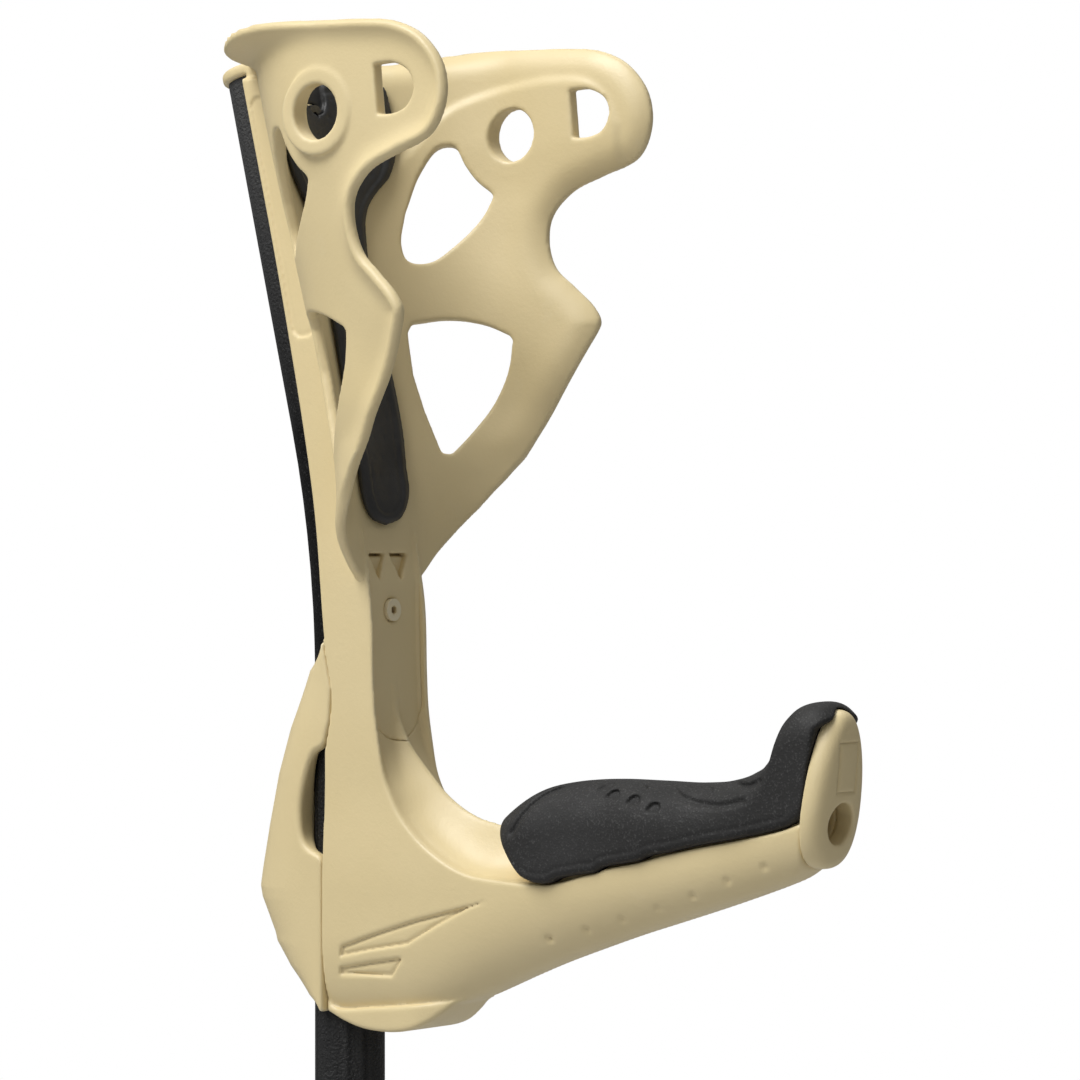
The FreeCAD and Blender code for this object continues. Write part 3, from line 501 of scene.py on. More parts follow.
def front_face(g):
    """Front of the post: a groove between two thin edges, in which a rib grows towards the handle."""
    edge, floor, rib = (g.side(body_outline(front)) for front in (EDGE, FLOOR, RIB))
    groove = floor + (edge - floor) * ramp(g.y, 11.3, 12.9)
    spine = rib * 0.95 + 1.5 * np.maximum(np.hypot(g.y, 0.5) - 0.9, 0)
    high = union(groove, spine, 1.6)
    flank = np.clip((np.hypot(g.y, 1.0) - 1.0) / 12.4, 0, 1)
    low = rib + (edge - rib) * (1 - (1 - flank) ** 2.5)
    share = ramp(-g.z, 58, 80)
    return high + (low - high) * share


def tongue_foot(g):
    """Distance outside the tongue's outline."""
    return np.where(g.z < TONGUE_FOOT, np.hypot(g.y, g.z - TONGUE_FOOT), g.y) - TONGUE_HALF


# Line between the handle and the grip on it
GRIP_LINE = [(60, -79), (66, -84), (71, -90.5), (76, -97.5), (80, -101.2), (86, -102.9), (90, -102.6),
             (93, -101.2), (101, -99.6), (106, -98.8), (109, -97.2), (117, -95.6), (122, -94.6),
             (125, -93.2), (133, -91.6), (141, -89.7), (159, -86.2), (172, -83), (177, -80), (181, -75)]
# The handle's end leans; its cap is measured from a point on that end
CAP_LEAN, CAP_X, CAP_Z = math.radians(7.5), 178.9, -72.0
# Screw boss on the end cap: level of its axis, room for it in the handle, and how deep that goes
CAP_HOLE_UP, BOSS_ROOM_R, BOSS_ROOM_OUT = -9.5, 7.7, -10.5
# Half width of the post, what the casing adds, what the web and the handle's end take off again,
# and the half width that the underside tucks in to, at the casing and less along the handle
POST_HALF, CASING_SWELL, WEB_WAIST, HANDLE_WAIST = 14.0, 1.5, 0.5, 2.6
UNDER_HALF, UNDER_NARROW = 8.5, 6.0
# Core of the handle inside the grip: how far it is drawn in, where it starts, the room round it
CORE_INSET, CORE_START, CORE_ROOM, PART_GAP = 4.8, 60, 0.5, 0.35
# Hook over the tube's end: radius of its disc, middle of the disc over the end and half thickness
HOOK_R, HOOK_UP, HOOK_HALF = 12.5, 2.1, 1.95
# Side details: engraved wedges, the long panel on the post, dents along the handle
WEDGES = [
    [(8.2, -129.3), (8.8, -126.0), (24.1, -120.8), (38.5, -116.4), (52.1, -112.9), (65.3, -109.5),
     (58.4, -112.0), (46.5, -117.9), (34.9, -124.2), (20.8, -126.7)],
    [(7.6, -135.0), (7.9, -132.7), (20.6, -130.3), (32.9, -128.3), (28.3, -134.4)]]
PANEL = [(-29.3, 137.5), (-28, 139.6), (-24.5, 140), (-22.8, 138), (-12.4, 103.4), (-2.2, 68.5),
         (-2.8, 65.5), (-5, 63.8), (-9.6, 63.4), (-12.0, 65.5), (-21.0, 103.9)]
DENTS = [(86.9, -119.8), (100.3, -116.6), (113.2, -112.9), (126.2, -109.2), (138.6, -104.7),
         (150.9, -99.7), (163.7, -95.2)]
# The first few dents have a fainter one ahead of them and below
SECOND_DENTS, SECOND_X, SECOND_Z = 4, 8, -4.3


def handle_section(g, inset):
    """Distance to the handle's rounded oblong section, drawn in by inset."""
    level, half_w, half_h = (along(g.x, HANDLE, n) for n in (1, 2, 3))
    half_w, half_h = half_w - inset, half_h - inset
    corner = 0.93 * np.minimum(half_w, half_h)
    return rounded(g.y - half_w, np.abs(g.z - level) - half_h, corner) * 0.97


def cap_frame(g):
    """Coordinates out of and up the leaning end of the handle."""
    out = (g.x - CAP_X) * math.cos(CAP_LEAN) - (g.z - CAP_Z) * math.sin(CAP_LEAN)
    up = (g.x - CAP_X) * math.sin(CAP_LEAN) + (g.z - CAP_Z) * math.cos(CAP_LEAN)
    return out, up


def boss_room(g, out, up):
    """Distance to the room for the end cap's screw boss."""
    return both(np.hypot(g.y, up - CAP_HOLE_UP) - BOSS_ROOM_R, BOSS_ROOM_OUT - out)


def make_bracket():
    """Post, casing and handle as one moulding, hollow for the tube."""
    g = Grid(*BRACKET_GRID)
    # The side swells from the post into the casing, narrows along the handle and tucks in below
    bottom = along(g.x, BOTTOM[::-1], 1)
    tuck = 25 - 8 * ramp(g.x, 60, 150)
    turn_in = np.clip((bottom + tuck - g.z) / tuck, 0, 1)
    swell = POST_HALF + CASING_SWELL * ramp(-g.z, 74, 108)
    swell = swell - WEB_WAIST * ramp(g.x, 40, 80) - HANDLE_WAIST * ramp(g.x, 84, 176)
    under = UNDER_HALF - UNDER_NARROW * ramp(g.x, 30, 66)
    swell = under + (swell - under) * np.sqrt(np.clip(1 - turn_in ** 2, 0, 1))
    soft = np.where(g.z < -31, 0.25 + 1.05 * ramp(g.x, 3, 9), 1.3)
    d = both(front_face(g), (g.y - swell) * 0.85, soft)
    # Skirt round the tube, set in a little under a fine groove
    skirt = g.side(np.concatenate([spline(SKIRT_TOP), spline(SKIRT_FOOT)]))
    skirt = both(skirt, g.y - 13.0 + 5.0 * ramp(g.x, 34, 56), 1.4)
    d = union(d, skirt, 1.0)
    # The grip's place is cut away round the handle's core, and the end leans to meet the cap
    core = both(handle_section(g, CORE_INSET), CORE_START - g.x)
    above = ("line", [(181, -75), (200, -30), (50, -30), (60, -79)])
    grip_side = g.side(loop([("curve", GRIP_LINE), above]))
    d = union(without(d, grip_side - PART_GAP, 0.5), both(core, grip_side - 2))
    out, up = cap_frame(g)
    d = both(d, out + 0.3, 0.9)
    d = np.where(g.x > 163, both(d, cap_edge(g, up) - 0.15 + 0.9 * out, 0.8), d)
    d = without(d, boss_room(g, out, up))
    # Tube channel, hook over the tube's end
    hook_in = (g.x - TUBE_TOP[0]) * math.cos(LEAN) + (g.z - TUBE_TOP[1]) * math.sin(LEAN)
    hook_up = (g.z - TUBE_TOP[1]) * math.cos(LEAN) - (g.x - TUBE_TOP[0]) * math.sin(LEAN)
    d = without(d, both(tube_room(g), hook_up), 0.5)
    disc = both(np.hypot(hook_in, g.y) - HOOK_R, np.abs(hook_up - HOOK_UP) - HOOK_HALF, 1.6)
    web = both(both(np.hypot(hook_in - 9, hook_up + 0.5) - 5.5, -hook_up - 3), g.y - 12.5, 1.2)
    d = union(d, union(disc, web, 1.0), 1.2)
    # Moulded details on the side: engraved wedges, dents along the handle, a long panel on the post
    for wedge in WEDGES:
        inside = g.side(np.array(wedge))
        depth = 0.55 * ramp(-inside, -0.2, 0.5) + 0.6 * furrow(inside + 0.5, 0.5)
        d = d + depth * ramp(g.y, 11, 13)
    for x, z in DENTS:
        cup = np.hypot(g.x - x, g.z - z)
        d = d + 1.1 * furrow(cup, 0.95) * ramp(g.y, 8, 11)
    for x, z in DENTS[:SECOND_DENTS]:
        cup = np.hypot(g.x - x - SECOND_X, g.z - z - SECOND_Z)
        d = d + 0.6 * furrow(cup, 0.8) * ramp(g.y, 7, 10)
    panel = g.side(np.array(PANEL))
    depth = 0.45 * ramp(-panel, -0.2, 0.5) + 0.35 * furrow(panel + 0.5, 0.5)
    d = d + depth * ramp(g.y, 12.5, 13.5)
    # Room for the cuff's wall and for its tongue
    wall = cuff_surface(g)[0] - HALF_WALL
    d = without(d, both(wall - 0.1, -5.0 - g.z, 1.0), 0.4)
    d = without(d, both(both(tongue_foot(g), TONGUE_FACE - 0.1 - g.x), g.z - 6), 0.1)
    return field_piece("handle_bracket_shell", g, d)


# ---------------------------------------------------------------- rear cover
COVER_GRID = (-38, 9), 17.5, (-152, -26), 0.6
# Side view: the spine from the top down, its foot, and the seam against the casing
SPINE = [(0.3, -31.5), (-11.2, -41), (-15.9, -50), (-20.6, -59), (-26.2, -74), (-30.3, -90), (-33.4, -104),
         (-34.4, -109.5)]
SPINE_FOOT = [(-34.4, -109.5), (-33.6, -113), (-27.7, -124), (-26.9, -126.6), (-20.6, -134),
              (-10.7, -142.3), (0.0, -147.0), (1.0, -147.0)]
SEAM = [(1.0, -147), (0.8, -118), (0.8, -97), (0.8, -66), (3.3, -56), (3.6, -46), (0.3, -31.5)]
MOON = [("line", [(1.6, -99), (1.6, -64.5)]),
        ("curve", [(1.6, -64.5), (-3, -67), (-7, -75.5), (-8.8, -86), (-6.8, -94.5), (1.6, -99)])]
COVER_HALF, COVER_SCREW_Z, COVER_SCREW_X, COVER_SCREW_R = 15.2, -113, -27.6, 3.8


def make_cover():
    """Shell behind the casing, hollow for the tube."""
    g = Grid(*COVER_GRID)
    side = g.side(np.concatenate([spline(SPINE), SPINE_FOOT[1:], SEAM[1:-1]]))
    # Seen from above the cover is half an oval, drawn in from its seam to its spine
    xs, levels = zip(*sorted(SPINE + SPINE_FOOT[1:-1], key=lambda point: point[1]))
    spine = -np.interp(g.z, levels, xs)
    half = COVER_HALF - ramp(-g.z, 70, 40)
    oval = np.hypot(np.minimum(g.x, 0) / np.maximum(spine, 2), g.y / half) - 1
    d = both(side, oval / np.maximum(g.slope(oval)[1], 0.02), 1.2)
    d = without(d, tube_room(g), 0.5)
    # Half-moon opening with a sunk border, and the screw's recess
    moon = g.side(loop(MOON))
    d = d + 0.9 * ramp(-moon, -1.6, 0.2) * ramp(g.y, 9, 12)
    d = without(d, moon, 0.9)
    seat = np.hypot(g.y, g.z - COVER_SCREW_Z) - COVER_SCREW_R
    d = without(d, both(seat, g.x - COVER_SCREW_X), 0.6)
    return field_piece("rear_cover_shell", g, d)


# ---------------------------------------------------------------- grip
GRIP_GRID = (56, 192), 20.5, (-106, -42), 0.48
GRIP_TOP = [(60, -92), (63.5, -87), (68.5, -82.2), (75, -77.8), (83, -74), (93, -71.8), (104, -71),
            (120, -71), (136, -71), (148, -69.8), (157, -67), (163, -63), (166.2, -58), (168, -52.5),
            (171.5, -48.2), (177, -46.2), (182, -46.6), (187, -51)]
# Lines pressed into the palm side, with their depths, then spots: half moons and slanted dashes
WAVE = ([(107, -70), (116.6, -69.8), (126.9, -72.4), (137, -76.3), (149.9, -77.6), (158, -76)], 0.9)
FOLD = ([(98.9, -71.4), (92.1, -73.6), (86.1, -76.7), (80.8, -81.9), (77.0, -88.1)], 1.3)
CRESCENT = ([(149, -70.4), (151.3, -71.3), (157.7, -71.8), (163.3, -70.1)], 1.3)
DIMPLES = [(106.6, -74.0), (111.1, -76.1), (119.3, -77.4), (127.1, -79.2)]
DASHES = [(118.9, -73.4), (103, -72.4), (134.1, -72.4), (142.0, -72.9)]


def make_grip():
    """Soft grip over the handle's core, with a horn at its end."""
    g = Grid(*GRIP_GRID)
    outline = loop([("curve", GRIP_TOP), ("line", [(187, -51), (192, -75), (181, -75)]),
                    ("curve", GRIP_LINE[:0:-1]), ("line", [GRIP_LINE[1], (60, -92)])])
    side = g.side(outline)
    half_w = along(g.x, HANDLE, 2)
    bulge = 1.3 + 1.6 * furrow(g.x - 82, 12) + 0.7 * furrow(g.x - 122, 14)
    # Section: a saddle whose top is round, a little wider than the plastic below
    top = along(g.x, GRIP_TOP, 1)
    wide = half_w + bulge - 1.6 * ramp(g.x, 150, 170)
    arch = rounded(g.y - wide, g.z - top, np.minimum(wide * 0.96, 15))
    d = both(side, arch, 3.0)
    d = without(d, both(handle_section(g, CORE_INSET - CORE_ROOM), CORE_START + 6 - g.x), 0.5)
    # Waves and ridges on the palm side
    for points, depth in (WAVE, FOLD, CRESCENT):
        line = g.side_line(spline(points))
        d = d + depth * furrow(line, 0.9) * ramp(g.y, 4, 8)
    for x, z in DIMPLES:
        cup = np.hypot(g.x - x, (g.z - z) * 1.2)
        half_moon = both(cup - 2.2, z - 0.9 - g.z, 0.4)
        d = d + 1.1 * ramp(-half_moon, -0.4, 0.6) * ramp(g.y, 5, 8)
    for x, z in DASHES:
        bar = np.hypot(np.maximum(np.abs(g.x - x) - 2.0, 0), g.z - z + 0.25 * (g.x - x))
        d = d + furrow(bar, 0.7) * ramp(g.y, 5, 8)
    # Thin flange along the lower edge
    flange = g.side_line(spline([(x, z + 3.0) for x, z in GRIP_LINE[3:-2]]))
    d = d + 0.3 * furrow(flange, 0.6) * ramp(g.y, 8, 11)
    # The horn's tip reaches over the top of the end cap
    out, up = cap_frame(g)
    d = both(d, out - 0.3 - 3.6 * ramp(up, 17, 22), 1.6)
    d = without(d, both(cap_edge(g, up) - PART_GAP, -out - 0.2), 0.5)
    d = without(d, boss_room(g, out, up))
    return field_piece("grip_skin", g, d)


# ---------------------------------------------------------------- end cap
CAP_GRID = (166, 192), 14.5, (-99, -44), 0.42
# Half sizes, how squarely the egg is rounded, how much it narrows upwards and its least half width
CAP_HALF_WIDTH, CAP_HALF_HEIGHT, CAP_POWER, CAP_TAPER, CAP_LEAST = 13.0, 23.4, 2.3, 0.12, 1.0
CAP_DOME, CAP_BOSS_R, CAP_RECESS_R, CAP_RECESS_OUT, CAP_SCREW_R = 7.1, 7.5, 6.25, -7.5, 2.1
BOX_UP, BOX_HALF_WIDTH, BOX_HALF_HEIGHT = 7.0, 4.6, 7.2


def cap_edge(g, up):
    """Distance outside the end cap's egg-shaped outline."""
    half = np.maximum(CAP_HALF_WIDTH - CAP_TAPER * (up + 6), CAP_LEAST)
    across, tall = g.y / half, np.abs(up + 0.1) / CAP_HALF_HEIGHT
    egg = (across ** CAP_POWER + tall ** CAP_POWER) ** (1 / CAP_POWER) - 1
    return egg / np.maximum(g.slope(egg)[1], 0.03)


def make_end_cap():
    """Domed cap on the handle's end, with the recess for its screw."""
    g = Grid(*CAP_GRID)
    out, up = cap_frame(g)
    dome = CAP_DOME - 0.011 * (g.y ** 2 + 0.25 * up ** 2)
    d = both(both(cap_edge(g, up), out - dome, 4.5), -out, 0.6)
    # Screw boss behind the cap, the recess in it and the screw's hole
    hole = np.hypot(g.y, up - CAP_HOLE_UP)
    d = union(d, both(hole - CAP_BOSS_R, np.abs(out + 5) - 5.2))
    d = without(d, both(hole - CAP_RECESS_R, CAP_RECESS_OUT - out), 1.2)
    d = without(d, hole - CAP_SCREW_R)
    # Plain engraved box
    box = np.maximum(g.y - BOX_HALF_WIDTH, np.abs(up - BOX_UP) - BOX_HALF_HEIGHT)
    d = d + 0.7 * furrow(box, 0.42) * ramp(out, 3, 5)
    return field_piece("handle_end_cap_shell", g, d)


# ---------------------------------------------------------------- button spring
# Level of the snap button above the floor, how far it goes in, and the half width of the leaf
BUTTON_LEVEL, PRESS_TRAVEL, LEAF_HALF = 580.0, 3.6, 1.2
# The two faces of the folded leaf, in the XZ plane about the button's level
LEAF_OUTSIDE = [(-5.6, 5), (-5.6, -5), (2.2, -46), (4.2, -49), (6.2, -49), (7.3, -46), (7.3, 0)]
LEAF_INSIDE = [(-5.1, 5), (-5.1, -4.9), (2.7, -45.9), (4.4, -48.4), (6.0, -48.4), (6.8, -45.9), (6.8, 0)]


def make_spring():
    """Leaf folded into a narrow V, from a ring of four corners at each point of its outline."""
    points, faces = [], []
    for (a, b), (c, d) in zip(LEAF_OUTSIDE, LEAF_INSIDE):
        for x, z, y in ((a, b, -LEAF_HALF), (c, d, -LEAF_HALF), (c, d, LEAF_HALF), (a, b, LEAF_HALF)):
            points.append((x, y, z + BUTTON_LEVEL - DATUM / MM))
    last = len(points) - 4
    for row in range(0, last, 4):
        for n in range(4):
            m = (n + 1) % 4
            faces.append((row + m, row + n, row + 4 + n, row + 4 + m))
    faces += [(0, 1, 2, 3), (last + 3, last + 2, last + 1, last)]
    return mesh_piece("button_spring_leaf", points, faces, smooth=False)


# ---------------------------------------------------------------- ferrule
FERRULE_SIDES, FERRULE_CREASE = 96, math.radians(30)
# Radius and level above the sole: grooves round the neck and between the rings under the foot
GROOVES = [(13.5 - cut, top - drop) for top in (47.6, 42.4)
           for cut, drop in ((0, 0), (0.8, 0.8), (0.8, 1.8), (0, 2.6))]
RINGS = [(outer - cut, rise) for outer in (18.6, 13.2, 7.8)
         for cut, rise in ((0, 0), (0.6, 0.9), (2.0, 0.9), (2.6, 0))]
# From the bore's mouth down the outside, under the sole and back up the bore
FERRULE_PROFILE = [
    (9.1, 52), (12.3, 52), (13.2, 51.4), (13.5, 50.4), *GROOVES, (13.5, 37.2), (12.8, 36.2), (12.9, 33),
    (13.2, 28), (13.9, 22.5), (15.2, 17.2), (17.2, 12.6), (19.4, 9.2), (21.2, 7), (21.8, 6.2), (22, 5.2),
    (22, 1.4), (21.6, 0.5), (20.6, 0), *RINGS, (0.02, 0), (0.02, 12), (9.1, 12)]


def make_ferrule():
    """The profile turned round the leg's axis."""
    points, faces = [], []
    for r, z in FERRULE_PROFILE:
        for n in range(FERRULE_SIDES):
            turn = 2 * math.pi * n / FERRULE_SIDES
            points.append((r * math.cos(turn), r * math.sin(turn), z - DATUM / MM))
    for k in range(len(FERRULE_PROFILE)):
        row, following = k * FERRULE_SIDES, ((k + 1) % len(FERRULE_PROFILE)) * FERRULE_SIDES
        for n in range(FERRULE_SIDES):
            m = (n + 1) % FERRULE_SIDES
            faces.append((row + n, following + n, following + m, row + m))
    piece = mesh_piece("ferrule_skin", points, faces)
    piece.data.set_sharp_from_angle(angle=FERRULE_CREASE)
    return piece


# ---------------------------------------------------------------- materials
def material(name, base, roughness, build, metallic=0.0, specular=0.5):
    """Principled material; build adds nodes for colour, roughness and bump over the plain values."""
    mat = bpy.data.materials.new(name)
    mat.use_nodes = True
    tree = mat.node_tree
    shader = tree.nodes["Principled BSDF"]
    shader.inputs["Base Color"].default_value = (*base, 1)
    shader.inputs["Roughness"].default_value = roughness
    shader.inputs["Metallic"].default_value = metallic
    shader.inputs["Specular IOR Level"].default_value = specular
    build(Nodes(tree, shader))
    return mat


def plug(tree, socket, value):
    """Link a node's output to the socket, or set a plain value on it."""
    if hasattr(value, "is_linked"):
        tree.links.new(value, socket)
    else:
        socket.default_value = value


def add_node(tree, kind, inputs):
    n = tree.nodes.new(kind)
    for key, value in inputs.items():
        plug(tree, n.inputs[key], value)
    return n


class Nodes:
    """Node tree of a material, with the few patterns that the materials share."""

    def __init__(self, tree, shader):
        self.tree, self.shader = tree, shader
        self.place = tree.nodes.new("ShaderNodeTexCoord").outputs["Object"]

    def node(self, kind, inputs):
        return add_node(self.tree, kind, inputs)

    def noise(self, scale, detail=4.0, rough=0.55):
        return self.node("ShaderNodeTexNoise", {
            "Vector": self.place, "Scale": scale, "Detail": detail, "Roughness": rough}).outputs["Fac"]

    def spots(self, scale):
        return self.node("ShaderNodeTexVoronoi", {"Vector": self.place, "Scale": scale}).outputs["Distance"]

    def range(self, value, low, high, to_low, to_high):
        return self.node("ShaderNodeMapRange", {
            "Value": value, "From Min": low, "From Max": high, "To Min": to_low, "To Max": to_high}
        ).outputs["Result"]

    def mix(self, factor, a, b):
        n = self.tree.nodes.new("ShaderNodeMix")
        n.data_type = "RGBA"
        plug(self.tree, n.inputs["Factor"], factor)
        for key, value in (("A", a), ("B", b)):
            socket = [s for s in n.inputs if s.name == key and s.type == "RGBA"][0]
            plug(self.tree, socket, (*value, 1) if isinstance(value, tuple) else value)
        return [s for s in n.outputs if s.type == "RGBA"][0]

    def edges(self, low, high):
        """1 on worn outer edges; where high is the smaller value, 1 in hollows instead, for painted shade;
        0 elsewhere.
        """
        point = self.tree.nodes.new("ShaderNodeNewGeometry").outputs["Pointiness"]
        return self.range(point, low, high, 0.0, 1.0)

    def bump(self, *layers):
        """Each layer is a height, its strength and its depth."""
        normal = None
        for height, strength, distance in layers:
            n = self.node("ShaderNodeBump", {
                "Height": height, "Strength": strength, "Distance": distance})
            if normal is not None:
                self.tree.links.new(normal, n.inputs["Normal"])
            normal = n.outputs["Normal"]
        self.tree.links.new(normal, self.shader.inputs["Normal"])

    def use(self, key, value):
        self.tree.links.new(value, self.shader.inputs[key])


def sand(n, tint=1.0):
    """Satin moulded plastic, scuffed and worn lighter on its edges, with painted shade darkening its
    hollows.
    """
    base = n.mix(n.range(n.noise(14, 3), 0.35, 0.65, 0, 1),
                 (0.715 * tint, 0.585 * tint, 0.322 * tint), (0.745 * tint, 0.615 * tint, 0.350 * tint))
    scuffed = n.mix(n.range(n.noise(60, 6, 0.7), 0.62, 0.8, 0, 0.3), base, (0.76, 0.66, 0.44))
    worn = n.mix(n.edges(0.53, 0.62), scuffed, (0.80, 0.71, 0.49))
    # Painted shade: the hollows are darkened to a deep brown
    n.use("Base Color", n.mix(n.edges(0.47, 0.40), worn, (0.30, 0.22, 0.12)))
    n.use("Roughness", n.range(n.noise(45, 4), 0.3, 0.7, 0.36, 0.50))
    n.bump((n.noise(900, 2), 0.14, 0.0004), (n.noise(240, 3), 0.10, 0.0006))


def rubber(n):
    grain = n.noise(1500, 2)
    base = n.mix(n.range(grain, 0.55, 0.75, 0, 1), (0.019, 0.0185, 0.018), (0.06, 0.059, 0.058))
    dust = n.mix(n.range(n.noise(30, 5), 0.5, 0.8, 0, 0.5), base, (0.05, 0.05, 0.05))
    n.use("Base Color", n.mix(n.edges(0.54, 0.64), dust, (0.085, 0.085, 0.082)))
    n.use("Roughness", n.range(n.noise(120, 4), 0.3, 0.7, 0.58, 0.78))
    n.bump((grain, 0.35, 0.0005), (n.noise(420, 3), 0.22, 0.0008))


def powder_coat(n):
    grain = n.noise(1150, 2, 0.5)
    base = n.mix(n.range(grain, 0.62, 0.72, 0, 1), (0.003, 0.003, 0.003), (0.035, 0.035, 0.035))
    n.use("Base Color", n.mix(n.edges(0.54, 0.62), base, (0.08, 0.08, 0.08)))
    n.use("Roughness", n.range(n.noise(70, 4), 0.3, 0.7, 0.44, 0.62))
    n.bump((grain, 0.75, 0.0012), (n.spots(800), 0.3, 0.0006))


def anodised(n):
    streak = n.node("ShaderNodeMapping", {"Vector": n.place, "Scale": (900, 900, 12)}).outputs["Vector"]
    line = n.node("ShaderNodeTexNoise", {"Vector": streak, "Scale": 1.0, "Detail": 4.0}).outputs["Fac"]
    base = n.mix(n.range(line, 0.3, 0.7, 0, 1), (0.50, 0.51, 0.52), (0.63, 0.64, 0.65))
    n.use("Base Color", n.mix(n.range(n.noise(35, 5), 0.58, 0.75, 0, 0.6), base, (0.42, 0.42, 0.43)))
    n.use("Roughness", n.range(line, 0.2, 0.8, 0.26, 0.42))
    n.bump((line, 0.10, 0.0003))


def grained(cloud, shades, wear, worn, gloss, rough, grain, strength, depth):
    """Cloudy shades, edges worn lighter, uneven gloss and a fine grain."""
    def build(n):
        base = n.mix(n.range(n.noise(cloud), 0.4, 0.7, 0, 1), *shades)
        n.use("Base Color", n.mix(n.edges(*wear), base, worn))
        n.use("Roughness", n.range(n.noise(*gloss), 0.3, 0.7, *rough))
        n.bump((n.noise(*grain), strength, depth))
    return build


pad_rubber = grained(
    80, ((0.026, 0.026, 0.026), (0.042, 0.042, 0.041)), (0.54, 0.64), (0.075, 0.075, 0.075),
    (160, 4), (0.40, 0.56), (1100, 2), 0.18, 0.0004)
black_plastic = grained(
    110, ((0.016, 0.016, 0.017), (0.028, 0.028, 0.029)), (0.53, 0.62), (0.09, 0.09, 0.09),
    (200, 4), (0.36, 0.52), (900, 3), 0.2, 0.0004)
steel = grained(
    700, ((0.52, 0.52, 0.53), (0.66, 0.66, 0.67)), (0.52, 0.6), (0.78, 0.78, 0.79),
    (900, 3), (0.22, 0.40), (1600, 3), 0.12, 0.0002)
brass = grained(
    500, ((0.60, 0.45, 0.20), (0.72, 0.58, 0.30)), (0.52, 0.6), (0.8, 0.68, 0.4),
    (700, 3), (0.28, 0.45), (1400, 3), 0.12, 0.0002)

MATERIALS = {
    "sand_plastic": material("sand_plastic_look", (0.72, 0.60, 0.36), 0.42, sand),
    "sand_plastic_cuff": material("sand_cuff_look", (0.72, 0.60, 0.36), 0.42, lambda n: sand(n, 1.01)),
    "grip_rubber": material("grip_rubber_look", (0.02, 0.02, 0.02), 0.7, rubber, specular=0.35),
    "pad_rubber": material("pad_rubber_look", (0.02, 0.02, 0.02), 0.5, pad_rubber, specular=0.4),
    "tube_coat": material("tube_coat_look", (0.015, 0.015, 0.015), 0.5, powder_coat, specular=0.14),
    "leg_alloy": material("leg_alloy_look", (0.55, 0.56, 0.57), 0.33, anodised, metallic=1.0),
    "screw_steel": material("screw_steel_look", (0.6, 0.6, 0.6), 0.3, steel, metallic=1.0),
    "black_steel": material("black_steel_look", (0.05, 0.05, 0.05), 0.4, black_plastic, metallic=0.6),
    "button_steel": material("button_steel_look", (0.6, 0.6, 0.6), 0.3, steel, metallic=1.0),
    "nut_brass": material("nut_brass_look", (0.6, 0.45, 0.2), 0.35, brass, metallic=1.0),
    "black_plastic": material("black_plastic_look", (0.02, 0.02, 0.02), 0.45, black_plastic),
    "ferrule_rubber": material("ferrule_rubber_look", (0.02, 0.02, 0.02), 0.7, rubber, specular=0.3),
}


def dress(obj, slot):
    """Give the object the slot's material."""
    obj.data.materials.clear()
    obj.data.materials.append(MATERIALS[slot])


def stand_for(piece, node, body, slot):
    """The piece rides on the body and is shown in place of the CAD node."""
    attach(piece, body)
    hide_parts(node)
    dress(piece, slot)
    return piece


# The end cap's screw is black steel, and its black is partly painted shade at the bottom of the cap's
# recess
NODE_SLOTS = {
    "upper_tube": "tube_coat", "leg_tube": "leg_alloy", "leg_top_plug": "black_plastic",
    "guide_bush": "black_plastic", "tube_top_plug": "black_plastic", "ferrule_washer": "screw_steel",
    "snap_button": "button_steel", "cuff_lower_screw": "sand_plastic", "cuff_upper_screw": "black_steel",
    "cuff_upper_washer": "screw_steel", "cover_screw": "screw_steel", "end_cap_screw": "black_steel",
    "rivet_nuts": "nut_brass"}
for node, slot in NODE_SLOTS.items():
    dress(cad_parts[node], slot)

stand_for(make_cuff(), "forearm_cuff", "frame", "sand_plastic_cuff")
stand_for(make_bracket(), "handle_bracket", "frame", "sand_plastic")
stand_for(make_cover(), "rear_cover", "frame", "sand_plastic")
stand_for(make_end_cap(), "handle_end_cap", "frame", "sand_plastic")
pad = stand_for(make_pad(), "forearm_pad", "frame", "pad_rubber")
stand_for(make_ferrule(), "ferrule", "leg", "ferrule_rubber")
# The leaf gets a mesh of its own; on the crutch, pressing the button closes the leaf towards its fixed arm
leaf = stand_for(make_spring(), "button_spring", "leg", "button_steel")
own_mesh(leaf)
grip = stand_for(make_grip(), "grip_pad", "frame", "grip_rubber")


# ---------------------------------------------------------------- floor, light, camera
FLOOR_HALF, FLOOR_SHADE, FLOOR_ROUGHNESS = 4.0, 0.6, 0.9
# The camera looks level along AHEAD at CENTRE
AZIMUTH, CAMERA_AWAY, LENS, SENSOR, CLIP_END = math.radians(37), 1.4, 148.5, 36, 100
RIGHT = Vector((math.cos(AZIMUTH), math.sin(AZIMUTH), 0))
AHEAD = Vector((-math.sin(AZIMUTH), math.cos(AZIMUTH), 0))
UP = Vector((0, 0, 1))
CENTRE = RIGHT * 0.0597 + UP * DATUM
# Place to the right of CENTRE, above it and towards the camera, diameter and watts
LIGHTS = {
    "key": ((-1.2, 1.9, 0.7), 1.3, 50),
    "fill": ((-1.2, 1.0, 1.5), 1.4, 8),
    "back": ((0.4, 1.7, -0.6), 0.9, 6)}
# Strength of the surroundings as a source of light, from low down to straight above
SKY_LOW, SKY_HIGH, SKY_START = 0.05, 0.40, -0.6


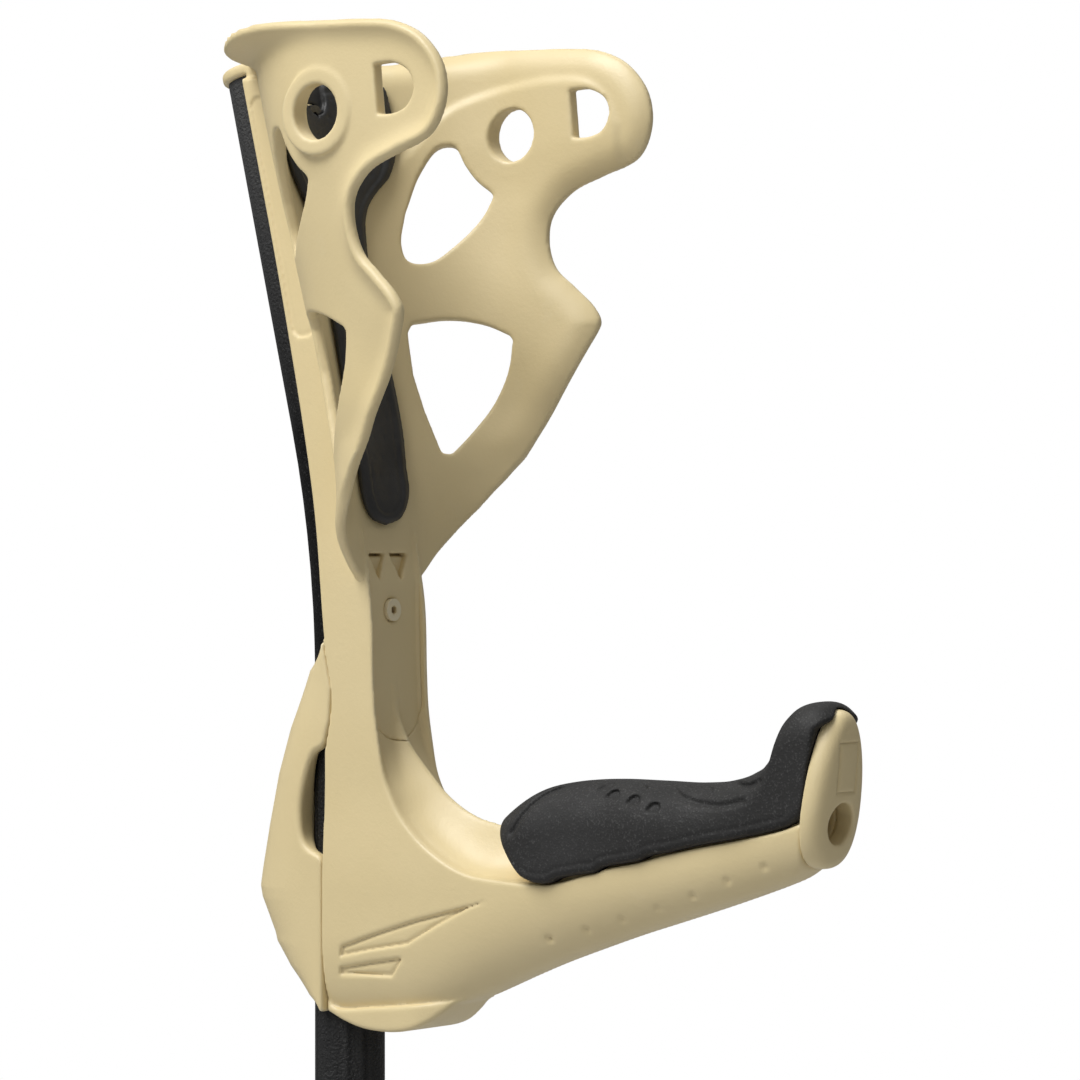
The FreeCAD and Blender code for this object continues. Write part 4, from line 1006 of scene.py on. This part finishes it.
def make_stage():
    mesh = bpy.data.meshes.new("floor")
    corners = [(x * FLOOR_HALF, y * FLOOR_HALF, 0) for x, y in ((-1, -1), (1, -1), (1, 1), (-1, 1))]
    mesh.from_pydata(corners, [], [(0, 1, 2, 3)])
    floor = place("floor", mesh)
    mat = bpy.data.materials.new("floor_look")
    mat.use_nodes = True
    shader = mat.node_tree.nodes["Principled BSDF"]
    shader.inputs["Base Color"].default_value = (FLOOR_SHADE, FLOOR_SHADE, FLOOR_SHADE, 1)
    shader.inputs["Roughness"].default_value = FLOOR_ROUGHNESS
    mesh.materials.append(mat)
    # The ferrule stands on the floor at every setting of the leg
    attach(floor, "leg")


def make_lights():
    for name, ((right, up, nearer), size, watts) in LIGHTS.items():
        light = bpy.data.lights.new(name, "AREA")
        light.shape = "DISK"
        light.size = size
        light.energy = watts
        obj = place(name, light)
        obj.location = CENTRE + RIGHT * right + UP * up - AHEAD * nearer
        obj.rotation_euler = (CENTRE - obj.location).to_track_quat("-Z", "Y").to_euler()


def make_world():
    """White to the eye; as a source of light dimmer, and darker below than above."""
    world = bpy.data.worlds.new("studio")
    world.use_nodes = True
    tree = world.node_tree
    way = tree.nodes.new("ShaderNodeTexCoord").outputs["Generated"]
    height = add_node(tree, "ShaderNodeSeparateXYZ", {"Vector": way}).outputs["Z"]
    sky = add_node(tree, "ShaderNodeMapRange", {
        "Value": height, "From Min": SKY_START, "From Max": 1.0, "To Min": SKY_LOW, "To Max": SKY_HIGH})
    seen = tree.nodes.new("ShaderNodeLightPath").outputs["Is Camera Ray"]
    level = add_node(tree, "ShaderNodeMapRange", {
        "Value": seen, "To Min": sky.outputs["Result"], "To Max": 1.0})
    background = tree.nodes["Background"]
    background.inputs["Color"].default_value = (1, 1, 1, 1)
    plug(tree, background.inputs["Strength"], level.outputs["Result"])
    bpy.context.scene.world = world
    bpy.context.scene.view_settings.view_transform = "Standard"


def make_camera():
    camera = bpy.data.cameras.new("camera")
    camera.sensor_width = SENSOR
    camera.lens = LENS
    camera.clip_end = CLIP_END
    obj = place("camera", camera)
    obj.location = CENTRE - AHEAD * CAMERA_AWAY
    obj.rotation_euler = (math.radians(90), 0, AZIMUTH)
    bpy.context.scene.camera = obj


make_stage()
make_lights()
make_world()
make_camera()
